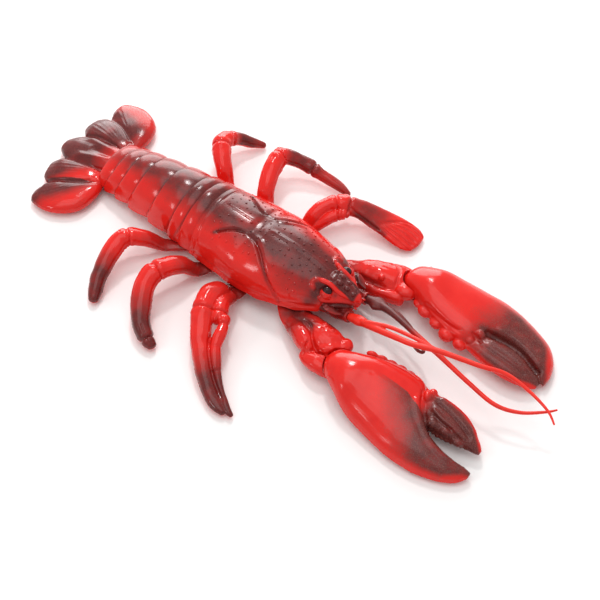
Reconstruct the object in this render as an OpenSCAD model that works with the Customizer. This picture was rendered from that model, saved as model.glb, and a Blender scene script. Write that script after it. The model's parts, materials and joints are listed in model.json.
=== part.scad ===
// Moulded plastic lobster, life size, lying on its belly.
// The head points to -Y, the tail to +Y, and the floor is Z = 0.

/* [Body] */
// Wall of the hollow mouldings
wall = 1.6; // [1.2:0.1:2]
// Gap between mouldings that nest in one another
nest_gap = 0.3; // [0.2:0.1:0.6]
// Half width of the flat foot under the belly
foot_half_width = 9; // [6:1:11]
// Arc steps of each shell
shell_steps = 20; // [14:2:24]

/* [Claws and tail] */
// Length of each claw
claw_length = 93; // [90:0.5:95]
// Width over the tail fan
tail_width = 93; // [88:0.5:96]

/* [Pivots] */
// Radius of the snap posts that carry the legs
leg_post_r = 2; // [1.6:0.1:2.4]
// Radius of the snap posts that carry the arms
shoulder_post_r = 3; // [2.5:0.1:3.4]
// Radius of the snap pins that carry the claws
wrist_pin_r = 2.5; // [2:0.1:2.8]
// Radial running clearance of every pivot
running = 0.05; // [0.02:0.01:0.1]

/* [Antennae] */
// Radius of the push-in plugs
plug_r = 2.2; // [1.8:0.1:2.4]
// Depth of the plug sockets
plug_depth = 6; // [4:0.5:7]

/* [Eyes] */
// Radius of the eyeballs
eye_r = 2.9; // [2.5:0.1:3.1]

/* [Hidden] */

red = [0.86, 0.10, 0.08];
dark_red = [0.42, 0.07, 0.07];
orange_red = [0.95, 0.22, 0.10];
LEFT = 1;
RIGHT = -1;
fine = 48;

// Carapace dome: [y, half width, rim z, height above the rim]
carapace_stations = [
    [-35, 16.5, 13, 12.8], [-24, 21, 11.2, 18], [-8, 25.2, 9.6, 22], [6, 26.4, 8.8, 23],
    [14, 26.4, 8.6, 21.4], [20, 26, 8.5, 22.2], [32, 25, 8.3, 22.8], [44, 24, 8.2, 22.4]
];
// Rear edges of the abdomen rings, with the same four values
ring_stations = [
    [44.4, 23.8, 8.2, 22.4], [52, 23.4, 8, 23], [60, 22.4, 7.4, 23.2], [75, 20.4, 6.8, 22.6],
    [90, 18.8, 6.2, 20.8], [101, 17.8, 5.8, 18.8], [110, 17, 5.4, 16.4], [119, 16.4, 5, 13]
];
// Each ring rises from this share of its size at its front edge
ring_tuck = 0.95;
// Belly tray: [y, half width, top edge z, depth]
belly_stations = [
    [-38, 5, 7.8, 1.8], [-34, 9.5, 8.8, 4.5], [-30, 13, 10, 7.5], [-22, 18.6, 11, 10.4],
    [-8, 23, 9.8, 9.4], [8, 24.1, 9.2, 8.8], [30, 22.9, 8.8, 8.4], [44, 21, 8.4, 8],
    [60, 19.4, 7.8, 7.4], [75, 17.5, 7.2, 6.8], [90, 16, 6.6, 6.2], [101, 15, 6.2, 5.6],
    [110, 14, 5.8, 4.6], [116, 11, 5.2, 2.6], [118, 7, 5, 1.8]
];
foot_front = -20;
foot_back = 96;

shoulder = [15, -16];
right_arm_stations = [
    [15, -16, 7.2, 5.5, 2.6], [21, -21.5, 7.2, 6, 2.6], [24, -30, 7.6, 8.2, 3.2],
    [26, -41, 9.8, 9.8, 6.2], [28.6, -52, 10.2, 11, 6.6], [32, -60, 9.4, 10, 5.4],
    [34.5, -66, 8.6, 5, 2]
];
left_arm_stations = [
    [15, -16, 7.2, 5.4, 2.6], [18.6, -23, 7.2, 5.2, 2.6], [21, -31, 7.6, 6, 3.2],
    [23, -42, 9.8, 8.8, 6.2], [26.6, -52, 10.2, 10, 6.6], [31, -60, 9.4, 9.4, 5.4],
    [34.5, -66, 8.6, 5, 2]
];
wrist = [34.5, -66.5];
wrist_disc_r = 8;
palm_back_r = 10.4;
wrist_disc_z = [4, 8];
claw_hub_r = 5.5;
// Parting plane between the claw halves, at the wrist, and its tilt
parting_z = 9.9;
parting_tilt = [4.3, 5.7, 0];
hollow_end_y = -112;

// Palm and fixed finger: [y, inner x, outer x, inner edge z, outer edge z, rise, drop]
right_palm = [
    [-57.5, 31.5, 36.5, 11, 10.6, 1.5, 0.9], [-61, 27.5, 42, 11, 10.5, 6, 1.4],
    [-66.5, 25.2, 45.8, 10.9, 10.2, 8.5, 1.4], [-75, 21.5, 50.4, 10.4, 9.2, 10.5, 1.5],
    [-84, 17.5, 53.4, 9.8, 5.6, 11.2, 3.8], [-96, 15.5, 56.2, 9.2, 4.2, 11, 3.6],
    [-106, 17, 58, 8.8, 3.6, 9.6, 3], [-113, 27, 58.6, 8.4, 3.2, 8.6, 2.6],
    [-121, 37.6, 58.6, 7.6, 2.8, 7, 2.2], [-130, 41, 57.6, 6.4, 2.4, 5.8, 1.8],
    [-140, 42, 54.4, 5.2, 2.4, 4.4, 1.8], [-147, 41.5, 50, 4.2, 2.6, 3, 1.5],
    [-150.5, 42, 45, 3.6, 3.2, 1.2, 1]
];
left_palm = [
    [-57.5, 31.5, 36, 11, 10.6, 1.5, 0.9], [-61, 27.5, 42, 11, 10.5, 6, 1.4],
    [-66.5, 25.2, 45, 10.9, 10.2, 8.5, 1.4], [-75, 21.5, 48.5, 10.4, 9.2, 10.5, 1.5],
    [-84, 18, 51, 9.8, 6, 11.2, 4], [-96, 15.5, 53, 9.2, 4.6, 11, 4],
    [-106, 16, 54, 8.8, 4, 9.6, 3.4], [-113, 25, 53.5, 8.4, 3.4, 8.6, 2.8],
    [-121, 29.6, 52.5, 7.6, 3, 7.4, 2.4], [-130, 30, 50, 6.6, 2.6, 6.6, 2],
    [-140, 27.5, 45.5, 5.6, 2.6, 5.4, 1.9], [-147, 24, 38, 4.6, 2.8, 3.6, 1.6],
    [-150.5, 22.5, 29, 3.8, 3.2, 1.2, 1]
];
// Second finger, with the same seven values
right_finger = [
    [-107, 17.5, 27, 8.8, 7, 3, 2], [-113, 17.6, 32, 8.4, 6.8, 5, 3],
    [-121, 17.6, 35.2, 7.8, 6.4, 6, 3.2], [-130, 18.6, 35.4, 7, 6, 6, 3],
    [-138, 21.4, 33.6, 6.4, 5.6, 5, 2.6], [-145, 26, 32.6, 5.6, 5.2, 3, 1.8],
    [-148, 29, 31.6, 5.2, 5, 1.2, 0.8]
];
left_finger = [
    [-107, 15, 27, 8.8, 7, 3, 2], [-113, 14, 30, 8.4, 6.8, 5, 3],
    [-121, 12.6, 31, 7.8, 6.4, 6, 3.2], [-130, 12.2, 31.4, 7, 5.8, 6, 3],
    [-138, 13.4, 29.4, 6.2, 5, 5, 2.4], [-145, 16, 26, 5, 4.4, 3, 1.8],
    [-148.5, 18.4, 22.4, 4.4, 4, 1.2, 0.8]
];
// Round knobs on the inner edge of each claw: [x, y, z, radius]
right_knobs = [[22.5, -111.4, 12, 2.6], [18.6, -112, 10.6, 2.2]];
left_knobs = [[23, -110.4, 13, 3], [17.2, -108.6, 10.6, 2.4]];

// Legs: [post x, post y, stations], each station [x, y, z, half width, half height]
leg_hub_z = [3.6, 7.6];
leg_right_rear_stations = [
    [17, 48, 5.6, 4, 1.7], [22, 54, 5.2, 3.6, 1.6], [27, 60.4, 5.4, 4, 1.8],
    [33, 68, 11.4, 4.8, 4], [41, 75, 14, 5, 4.4], [52, 75, 12, 5.2, 4.4],
    [66, 71.5, 6.6, 4, 3.8], [74, 67.4, 3.6, 2.8, 2.6], [78, 65, 2.2, 1, 1]
];
leg_right_middle_stations = [
    [17, 29, 5.6, 4, 1.7], [23, 31.5, 5.2, 4, 1.6], [29, 35, 5.6, 4.6, 1.9],
    [35, 39.6, 12, 5.2, 4.2], [43, 43.4, 15, 5.4, 4.6], [52, 46, 15, 5.6, 4.8],
    [62.5, 43, 11.6, 4.8, 4.4], [73.6, 34.4, 6.4, 3.6, 3.4], [80, 25, 3, 2.4, 2.2],
    [82, 20, 2, 1, 1]
];
leg_right_front_stations = [
    [17, 8, 5.6, 4.4, 1.7], [24, 8.4, 5.2, 4.8, 1.6], [30, 9.4, 5.6, 5.8, 1.9],
    [36, 10.6, 12, 6.4, 4.4], [43, 11, 14.8, 7.2, 4.8], [54, 5, 14.4, 8.4, 4.8],
    [65.6, -4.4, 10, 8, 4.6], [77, -17, 5.4, 5.6, 3.8], [86, -31.6, 3, 3.4, 2.4],
    [89, -37, 2, 1.2, 1]
];
leg_left_rear_stations = [
    [17, 48, 5.6, 4, 1.7], [22, 54, 5.2, 3.6, 1.6], [27, 60.6, 5.4, 4, 1.8],
    [32, 67, 11.6, 4.6, 4], [38, 73.6, 14.8, 5, 4.6], [46, 80, 15, 5.2, 4.6],
    [55.5, 78.6, 10.6, 4.2, 4], [64, 70.6, 4.6, 2.8, 2.8], [68, 66, 2.2, 1, 1]
];
leg_left_middle_stations = [
    [17, 29, 5.6, 4, 1.7], [23, 31.5, 5.2, 4, 1.6], [29, 35, 5.6, 4.4, 1.9],
    [35.4, 39.4, 11.4, 4.8, 4], [45, 43.6, 14.6, 5, 4.6], [56.6, 46, 15.4, 5.2, 4.6],
    [63, 38, 12, 4.2, 4], [66, 22, 6.6, 3.6, 3.2], [67, 9, 3.2, 2.4, 2.2],
    [66.6, 4.5, 2.2, 1, 1]
];
leg_left_front_stations = [
    [17, 8, 5.6, 4.4, 1.7], [24, 7.8, 5.2, 4.6, 1.6], [30, 6.6, 5.6, 5, 1.9],
    [36, 4.4, 11, 5.6, 4.2], [43.6, 0.4, 13.4, 5.8, 4.6], [49.6, -6.4, 13.4, 5.8, 4.6],
    [55, -14.6, 10.6, 7, 4], [59, -27, 6.8, 8.6, 3.4], [60.6, -39, 4, 9, 2.6],
    [60.8, -46, 2.6, 6, 1.6]
];

// Tail lobes: [x, y, z, half width, half height], before the fan is turned
telson_stations = [
    [0, 112, 8.6, 8.6, 3.4], [0, 119.6, 8.8, 9.4, 3.6], [0, 128, 6.8, 10.2, 4],
    [0, 140, 5.2, 11, 3.4], [0, 150, 3.8, 9.6, 2.6], [0, 157, 2.8, 4, 1.2]
];
inner_lobe_stations = [
    [13.6, 122.8, 6.4, 4.4, 3], [14.8, 128, 5.6, 7.8, 3.2], [17.6, 136, 4.6, 10.4, 3],
    [20, 146, 3.4, 9.4, 2.4], [21.4, 152.4, 2.6, 5, 1.2]
];
outer_lobe_stations = [
    [19, 124.6, 5.4, 4, 2.6], [24.4, 124.4, 4.8, 6.2, 3], [31.6, 127.6, 4, 11, 2.8],
    [36.8, 136.6, 3.2, 11.4, 2.4], [39, 144.6, 2.6, 8, 1.6], [39.6, 147.8, 2.4, 4, 1]
];
// The tail lies turned by this angle about this point
tail_turn = 6;
tail_pivot = [0, 116, 0];

// Head block and rostrum on the centre line
head_stations = [
    [0, -28.5, 17, 12.2, 5.6], [0, -33.6, 17, 12.4, 6], [0, -36.4, 17, 14.2, 7.6],
    [0, -39.4, 16.4, 12.6, 7.6],
    [0, -44, 15.4, 9.6, 6], [0, -49, 14.4, 6, 4.2], [0, -51.5, 14, 2.4, 2]
];
rostrum_stations = [
    [0, -36.2, 23.6, 6.8, 3], [0, -40, 22.8, 5.6, 3.2], [0, -45.6, 20.6, 4, 3],
    [0, -50.4, 18, 2, 1.8], [0, -52.6, 16.8, 0.8, 0.8]
];
eye = [9.4, -38.3, 20.8];
right_socket = [[7.4, -51.4, 12], [2.6, -32.6, 12]];
left_socket = [[7.4, -51.4, 12], [-1.2, -30, 7.4]];
socket_r = 4.4;
socket_len = 12;

// Whips: [x, y, z, half width, half height], from the plug to the tip
right_whip = [
    [7.5, -53.4, 12.8, 3.2, 3], [8.6, -62, 16, 2.6, 2.4], [10, -75, 20.6, 1.6, 1.6],
    [10, -88, 24, 1.4, 1.4], [4.8, -105, 24.6, 1.3, 1.3], [-0.5, -125, 24, 1.2, 1.2],
    [-5.4, -137, 22.4, 1.1, 1.1], [-5.6, -150, 20, 1, 1], [-2.4, -163.4, 18.6, 0.9, 0.9],
    [2, -170.6, 17.4, 0.6, 0.6]
];
left_whip = [
    [7.4, -53.4, 12.6, 3.2, 3], [6.6, -62, 14.6, 2.6, 2.4], [3.6, -73, 17.4, 1.6, 1.6],
    [-0.2, -88, 18.8, 1.4, 1.4], [-3, -105, 17.6, 1.3, 1.3], [-5.8, -124, 15, 1.2, 1.2],
    [-7.2, -140, 13, 1.1, 1.1], [-3.6, -152, 13, 1, 1], [3.2, -162, 14.6, 0.9, 0.9],
    [7, -167, 17, 0.6, 0.6]
];
// Short second strand of each antenna
right_strand = [
    [9, -61, 15.8, 1.2, 1.2], [7, -70, 19.4, 1.1, 1.1], [5.6, -82, 22.4, 1, 1],
    [5.4, -94, 23.4, 0.8, 0.8], [5, -101, 21.4, 0.5, 0.5]
];
left_strand = [
    [6.8, -61, 14.2, 1.2, 1.2], [7.4, -70, 14.4, 1.1, 1.1], [4.2, -80, 13.4, 1, 1],
    [-0.4, -88, 12.4, 0.8, 0.8], [-3.6, -93, 12.2, 0.5, 0.5]
];

function power(v, p) = sign(v) * pow(abs(v), p);
function lerp(a, b, t) = a + (b - a) * t;

// Catmull-Rom curve through a list of equal vectors
function spline(a, b, c, d, t) =
    0.5 * ((2 * b) + (c - a) * t + (2 * a - 5 * b + 4 * c - d) * t * t
    + (3 * b - a - 3 * c + d) * t * t * t);
function smooth(v, n) = let (m = len(v) - 1) concat(
    [for (i = [0:m - 1], k = [0:n - 1])
        spline(v[max(i - 1, 0)], v[i], v[i + 1], v[min(i + 2, m)], k / n)],
    [v[m]]
);

// Dome profile from the left rim over the top to the right rim
function arch(half, rise, steps, squareness) = [
    for (i = [0:steps])
        let (a = 180 - 180 * i / steps)
        [half * power(cos(a), 2 / squareness), rise * power(sin(a), 2 / squareness)]
];
// One ring of a dome shell: the outer arch, then the inner arch backwards
function shell_ring(y, x0, x1, z0, z1, rise, steps, square) =
    let (
        half = (x1 - x0) / 2,
        mid = (x0 + x1) / 2,
        side = sign(rise),
        inner_half = max(half - wall, half * 0.3),
        inner_rise = side * max(abs(rise) - wall, abs(rise) * 0.3),
        outer = arch(half, rise, steps, square),
        inner = arch(inner_half, inner_rise, steps, square),
        loop = concat(outer, [for (i = [steps:-1:0]) inner[i]])
    )
    [for (p = loop) [mid + p[0], y, lerp(z0, z1, (p[0] / half + 1) / 2) + p[1]]];

// Faces of a tube of closed rings, flipped when turn is true
function tube_faces(rings, sides, turn) = [
    for (j = [0:rings - 2], i = [0:sides - 1])
        let (
            a = j * sides + i,
            b = j * sides + (i + 1) % sides,
            quad = [a, b, b + sides, a + sides]
        )
        turn ? [quad[3], quad[2], quad[1], quad[0]] : quad
];
// Faces that close the end of a dome shell, between its two arches
function shell_cap(first, steps, turn) = [
    for (i = [0:steps - 1])
        let (
            a = first + i,
            b = first + 2 * steps + 1 - i,
            quad = [a, b, b - 1, a + 1]
        )
        turn ? [quad[3], quad[2], quad[1], quad[0]] : quad
];

// Open dome or tray with an even wall. Rows: [y, x0, x1, z0, z1, rise]
module dome_shell(rows, steps, square) {
    sides = 2 * steps + 2;
    turn = rows[1][5] > 0;
    points = [
        for (r = rows)
            each shell_ring(r[0], r[1], r[2], r[3], r[4], r[5], steps, square)
    ];
    polyhedron(points, concat(
        tube_faces(len(rows), sides, turn),
        shell_cap(0, steps, turn),
        shell_cap((len(rows) - 1) * sides, steps, !turn)
    ), convexity = 6);
}

// Closed limb of oval rings. Rows: [x, y, z, half width, half height]
module limb(rows, sides) {
    m = len(rows) - 1;
    points = [
        for (i = [0:m])
            let (
                a = rows[max(i - 1, 0)],
                b = rows[min(i + 1, m)],
                p = rows[i],
                flat = norm([b[0] - a[0], b[1] - a[1]]),
                side = [b[1] - a[1], a[0] - b[0], 0] / flat,
                along = [b[0] - a[0], b[1] - a[1], b[2] - a[2]],
                up = cross(side, along) / norm(along)
            )
            for (k = [0:sides - 1])
                let (w = 360 * k / sides)
                [p[0], p[1], p[2]] + side * p[3] * cos(w) + up * p[4] * sin(w)
    ];
    polyhedron(points, concat(
        tube_faces(m + 1, sides, false),
        [[for (k = [sides - 1:-1:0]) k]],
        [[for (k = [0:sides - 1]) m * sides + k]]
    ), convexity = 6);
}

// Places a shape drawn along +Z at p so that it runs along d
module along(p, d) {
    translate(p) rotate([0, acos(d[2] / norm(d)), atan2(d[1], d[0])]) children();
}

// Mirrors a right-handed or left-handed piece to its own side
module on_side(side) {
    if (side == LEFT) children();
    else mirror([1, 0, 0]) children();
}

// Snap post: a plain shank with a swollen head
module snap_post(r, foot_z, shank_top_z) {
    translate([0, 0, foot_z]) cylinder(h = shank_top_z - foot_z, r = r, $fn = fine);
    translate([0, 0, shank_top_z]) cylinder(h = 0.8, r = r + 0.5, $fn = fine);
}

module carapace_shell() {
    color(red) dome_shell(
        [for (s = smooth(carapace_stations, 3)) [s[0], -s[1], s[1], s[2], s[2], s[3]]],
        shell_steps, 2.05
    );
}

// Each ring swells from its tucked front edge to a crisp rear edge
module abdomen_shell() {
    rows = [
        for (i = [0:len(ring_stations) - 2], k = [0, 0.35, 0.97])
            let (
                s = lerp(ring_stations[i], ring_stations[i + 1], k),
                g = lerp(ring_tuck, 1, sqrt(k))
            )
            [s[0], -s[1] * g, s[1] * g, s[2], s[2], s[3] * g]
    ];
    color(red) dome_shell(rows, shell_steps, 2.05);
}

leg_posts = [[17, 48], [17, 29], [17, 8]];
module leg_windows() {
    for (side = [-1, 1], p = leg_posts)
        translate([side * 20 - 8, p[1] - 8, leg_hub_z[0] - 0.8]) cube([16, 20, 12]);
    for (side = [-1, 1])
        translate([side * 20 - 12, -30, 3.6]) cube([24, 24, 12]);
}

module belly_shell() {
    floor_z = 1.4;
    color(red) {
        difference() {
            dome_shell(
                [for (s = smooth(belly_stations, 2)) [s[0], -s[1], s[1], s[2], s[2], -s[3]]],
                14, 2.6
            );
            leg_windows();
        }
        translate([-foot_half_width, foot_front, 0])
            cube([2 * foot_half_width, foot_back - foot_front, floor_z + 0.4]);
        for (side = [-1, 1]) {
            for (p = leg_posts) translate([side * p[0], p[1], 0]) {
                translate([0, 0, floor_z]) cylinder(h = leg_hub_z[0] - 0.2 - floor_z, r = 3.4, $fn = fine);
                snap_post(leg_post_r, floor_z, leg_hub_z[1] + 0.3);
            }
            translate([side * shoulder[0], shoulder[1], 0]) {
                translate([0, 0, floor_z]) cylinder(h = 2.6, r = 4.6, $fn = fine);
                snap_post(shoulder_post_r, floor_z, 10.1);
            }
        }
    }
}

module tail_fan() {
    color(dark_red) translate(tail_pivot) rotate([0, 0, tail_turn]) resize([tail_width, 0, 0])
        translate(-tail_pivot) union() {
            limb(smooth(telson_stations, 2), 20);
            for (side = [LEFT, RIGHT]) on_side(side) {
                limb(smooth(inner_lobe_stations, 2), 16);
                limb(smooth(outer_lobe_stations, 2), 16);
            }
        }
}

module head_moulding() {
    color(red) difference() {
        union() {
            limb(smooth(head_stations, 2), 16);
            limb(smooth(rostrum_stations, 2), 10);
            for (s = [[LEFT, left_socket], [RIGHT, right_socket]]) on_side(s[0])
                along(s[1][0] - socket_len * s[1][1] / norm(s[1][1]), s[1][1])
                    cylinder(h = socket_len, r = socket_r, $fn = fine);
        }
        for (s = [[LEFT, left_socket], [RIGHT, right_socket]]) on_side(s[0])
            along(s[1][0] - plug_depth * s[1][1] / norm(s[1][1]), s[1][1])
                cylinder(h = plug_depth + 4, r = plug_r + 0.02, $fn = fine);
        for (side = [LEFT, RIGHT]) on_side(side)
            translate(eye) sphere(r = eye_r + 0.1, $fn = fine);
    }
}

module eyeball(side) {
    color(dark_red) on_side(side) translate(eye) sphere(r = eye_r, $fn = fine);
}
module eye_left() { eyeball(LEFT); }
module eye_right() { eyeball(RIGHT); }

module antenna(side, socket, whip, strand, tint) {
    color(tint) on_side(side) {
        along(socket[0] - (plug_depth - 0.4) * socket[1] / norm(socket[1]), socket[1])
            cylinder(h = plug_depth + 3, r = plug_r, $fn = fine);
        limb(smooth(whip, 3), 8);
        limb(smooth(strand, 2), 6);
    }
}
module antenna_left() { antenna(LEFT, left_socket, left_whip, left_strand, dark_red); }
module antenna_right() { antenna(RIGHT, right_socket, right_whip, right_strand, orange_red); }

module arm(side, stations) {
    disc_h = wrist_disc_z[1] - wrist_disc_z[0];
    color(red) on_side(side) {
        difference() {
            union() {
                limb(smooth(stations, 3), 14);
                translate([shoulder[0], shoulder[1], 4.2]) cylinder(h = 5.6, r = 5.6, $fn = fine);
            }
            translate([shoulder[0], shoulder[1], 3])
                cylinder(h = 12, r = shoulder_post_r + running, $fn = fine);
            translate([wrist[0], wrist[1], wrist_disc_z[1]])
                cylinder(h = 20, r = palm_back_r, $fn = fine);
        }
        translate([wrist[0], wrist[1], wrist_disc_z[0]])
            cylinder(h = disc_h, r = wrist_disc_r, $fn = fine);
        translate([wrist[0], wrist[1], 0]) snap_post(wrist_pin_r, wrist_disc_z[1] - 1, 12.9);
    }
}
module arm_left() { arm(LEFT, left_arm_stations); }
module arm_right() { arm(RIGHT, right_arm_stations); }

// Closed lens-shaped loft. Rows: [y, x0, x1, z0, z1, rise, drop], shrunk by inset all round
module lens(rows, steps, inset) {
    sides = 2 * steps;
    points = [
        for (r = rows)
            let (
                half = max((r[2] - r[1]) / 2 - inset, 0.6),
                mid = (r[1] + r[2]) / 2,
                rise = max(r[5] - inset, 0.3),
                drop = max(r[6] - inset, 0.2)
            )
            for (k = [0:sides - 1])
                let (
                    w = 180 - 360 * k / sides,
                    u = power(cos(w), 0.9),
                    v = power(sin(w), 0.9)
                )
                [mid + half * u, r[0], lerp(r[3], r[4], (u + 1) / 2) + v * (v > 0 ? rise : drop)]
    ];
    last = (len(rows) - 1) * sides;
    polyhedron(points, concat(
        tube_faces(len(rows), sides, false),
        [[for (k = [sides - 1:-1:0]) k]],
        [[for (k = [0:sides - 1]) last + k]]
    ), convexity = 6);
}

// Half space above the parting plane when up is true, or below it
module parting_side(up) {
    size = 240;
    translate([wrist[0], wrist[1], parting_z]) rotate(parting_tilt)
        translate([-size / 2, -size / 2, up ? 0 : -size]) cube(size);
}

// Upper or lower half of a hollow palm with two solid fingers
module claw_half(palm, finger, knobs, up) {
    hollow = [for (s = smooth(palm, 2)) if (s[0] < palm[0][0] - 2 && s[0] > hollow_end_y) s];
    place = [wrist[0], wrist[1], 0];
    translate(place) resize([0, claw_length, 0]) translate(-place) intersection() {
        difference() {
            union() {
                lens(smooth(palm, 2), 12, 0);
                lens(smooth(finger, 2), 8, 0);
                for (k = knobs) translate([k[0], k[1], k[2]]) sphere(r = k[3], $fn = 12);
            }
            lens(hollow, 8, wall);
        }
        parting_side(up);
    }
}

module claw_upper(side, palm, finger, knobs) {
    color(red) on_side(side) difference() {
        claw_half(palm, finger, knobs, true);
        translate([wrist[0], wrist[1], 0]) cylinder(h = 13.6, r = claw_hub_r + nest_gap, $fn = fine);
    }
}

module claw_lower(side, palm, finger, knobs) {
    hub_z = wrist_disc_z[1] + 0.4;
    color(red) on_side(side) difference() {
        union() {
            claw_half(palm, finger, knobs, false);
            translate([wrist[0], wrist[1], hub_z]) cylinder(h = 4.2, r = claw_hub_r, $fn = fine);
        }
        translate([wrist[0], wrist[1], 0])
            cylinder(h = 20, r = wrist_pin_r + running, $fn = fine);
    }
}
module claw_left_upper() { claw_upper(LEFT, left_palm, left_finger, left_knobs); }
module claw_left_lower() { claw_lower(LEFT, left_palm, left_finger, left_knobs); }
module claw_right_upper() { claw_upper(RIGHT, right_palm, right_finger, right_knobs); }
module claw_right_lower() { claw_lower(RIGHT, right_palm, right_finger, right_knobs); }

module leg(side, stations) {
    hub_h = leg_hub_z[1] - leg_hub_z[0];
    color(red) on_side(side) difference() {
        union() {
            limb(smooth(stations, 3), 12);
            translate([stations[0][0], stations[0][1], leg_hub_z[0]])
                cylinder(h = hub_h, r = 4.6, $fn = fine);
        }
        translate([stations[0][0], stations[0][1], 0])
            cylinder(h = 12, r = leg_post_r + running, $fn = fine);
    }
}
module leg_left_front() { leg(LEFT, leg_left_front_stations); }
module leg_left_middle() { leg(LEFT, leg_left_middle_stations); }
module leg_left_rear() { leg(LEFT, leg_left_rear_stations); }
module leg_right_front() { leg(RIGHT, leg_right_front_stations); }
module leg_right_middle() { leg(RIGHT, leg_right_middle_stations); }
module leg_right_rear() { leg(RIGHT, leg_right_rear_stations); }

carapace_shell();
abdomen_shell();
belly_shell();
tail_fan();
head_moulding();
eye_left();
eye_right();
antenna_left();
antenna_right();
arm_left();
arm_right();
claw_left_upper();
claw_left_lower();
claw_right_upper();
claw_right_lower();
leg_left_front();
leg_left_middle();
leg_left_rear();
leg_right_front();
leg_right_middle();
leg_right_rear();
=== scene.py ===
"""Looks of a moulded PVC lobster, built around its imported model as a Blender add-on."""
import json
import math

import bpy
import bmesh
import numpy as np
from mathutils import Matrix, Vector, noise
from mathutils.kdtree import KDTree


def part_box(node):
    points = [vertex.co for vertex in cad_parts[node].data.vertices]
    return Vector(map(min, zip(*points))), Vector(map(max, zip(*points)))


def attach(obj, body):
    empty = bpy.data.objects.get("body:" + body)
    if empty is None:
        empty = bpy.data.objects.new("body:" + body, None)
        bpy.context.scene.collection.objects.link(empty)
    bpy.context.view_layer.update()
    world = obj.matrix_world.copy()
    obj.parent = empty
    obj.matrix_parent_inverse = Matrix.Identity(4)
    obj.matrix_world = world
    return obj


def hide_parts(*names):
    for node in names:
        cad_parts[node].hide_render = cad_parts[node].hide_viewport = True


bl_info = {
    "name": "Moulded Lobster",
    "version": (1, 0, 0),
    "blender": (4, 5, 0),
    "location": "3D View > Sidebar > Lobster",
    "description": "Builds the painted skin, whips and stage of a moulded PVC lobster",
    "category": "Object",
}

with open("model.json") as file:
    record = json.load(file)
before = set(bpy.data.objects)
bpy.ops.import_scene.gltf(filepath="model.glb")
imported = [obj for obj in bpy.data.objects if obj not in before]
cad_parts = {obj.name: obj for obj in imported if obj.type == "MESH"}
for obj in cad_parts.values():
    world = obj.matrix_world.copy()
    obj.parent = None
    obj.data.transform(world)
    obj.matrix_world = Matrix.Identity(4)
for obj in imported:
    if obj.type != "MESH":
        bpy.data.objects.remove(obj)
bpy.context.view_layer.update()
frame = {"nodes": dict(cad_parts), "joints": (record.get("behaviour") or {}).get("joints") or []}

MM = 0.001
LEFT, RIGHT = 1, -1
SIDES = {"left": LEFT, "right": RIGHT}
# Edges bent more than this, in degrees, are shaded sharp
SHARP = 55


def pivot(joint):
    """Where a joint turns, in millimetres."""
    return np.array(next(j["pos_m"] for j in frame["joints"] if j["name"] == joint)) / MM


# ---------------------------------------------------------------- colour and node helpers

def srgb(code):
    """Linear colour of an sRGB hex value."""
    parts = [int(code[i:i + 2], 16) / 255 for i in (1, 3, 5)]
    return [c / 12.92 if c <= 0.04045 else ((c + 0.055) / 1.055) ** 2.4 for c in parts]


def add(tree, kind, inputs=None, **settings):
    """Adds a node, with its settings and with its inputs set to values or linked to sockets."""
    node = tree.nodes.new(kind)
    for name, value in settings.items():
        setattr(node, name, value)
    for key, value in (inputs or {}).items():
        socket = node.inputs[key]
        if isinstance(value, bpy.types.NodeSocket):
            tree.links.new(value, socket)
        else:
            socket.default_value = value
    return node


# ---------------------------------------------------------------- sizes and colours

def length(name, description, default, low, high):
    """Length property, given in millimetres and kept in metres."""
    return bpy.props.FloatProperty(
        name=name, description=description, default=default * MM, min=low * MM, max=high * MM,
        unit="LENGTH", precision=5)


def paint_colour(name, description, default):
    """Colour property, given as an sRGB hex value."""
    return bpy.props.FloatVectorProperty(
        name=name, description=description, subtype="COLOR", default=srgb(default), min=0, max=1)


class LobsterSizes(bpy.types.PropertyGroup):
    skin_step: length("Skin step", "Distance between points of a worked skin", 0.42, 0.2, 1)
    shell_wall: length("Shell wall", "Wall of the carapace and the abdomen", 1.4, 0.8, 2)
    groove_depth: length("Groove depth", "Depth of the carapace's gill grooves", 1.7, 0, 2.5)
    ring_step: length(
        "Ring step", "How far each abdomen ring stands over the next", 2.5, 0.3, 3)
    pimple_radius: length("Pimple radius", "Radius of the carapace's pimples", 0.62, 0.2, 1)
    pimple_gap: length("Pimple gap", "Least distance between two pimples", 3.5, 1, 8)
    tooth_gap: length("Tooth gap", "Distance between the teeth of the claws", 2.3, 1, 6)
    whip_thickness: bpy.props.FloatProperty(
        name="Whip thickness", description="Thickness of the antenna whips against their pattern",
        default=1.05, min=0.6, max=1.3)


class LobsterColours(bpy.types.PropertyGroup):
    shell: paint_colour("Shell", "Red of the moulded PVC", "#EA2A20")
    shell_deep: paint_colour("Shell deep", "Red where the PVC is thick", "#CE1411")
    paint: paint_colour("Paint", "Maroon airbrushed over the back", "#3A1115")
    # the dry specks, and more so the claw's brown mist and its specks, are lightened partly as a
    # painted sheen of the rough paint
    paint_speck_and_sheen: paint_colour("Dry paint", "Dry specks of the airbrushed paint", "#78332B")
    claw_paint: paint_colour("Claw paint", "Thinner brown mist of the claw fingers", "#421A1B")
    claw_dry: paint_colour("Dry claw paint", "Dry specks of the claw mist", "#814A41")
    whip: paint_colour("Whip", "Orange red of the soft antenna whips", "#EE2A14")
    eye: paint_colour("Eye", "Gloss paint of the eyes", "#1C0608")
    floor: paint_colour("Floor", "Pale studio floor", "#F7F6F5")


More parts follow.
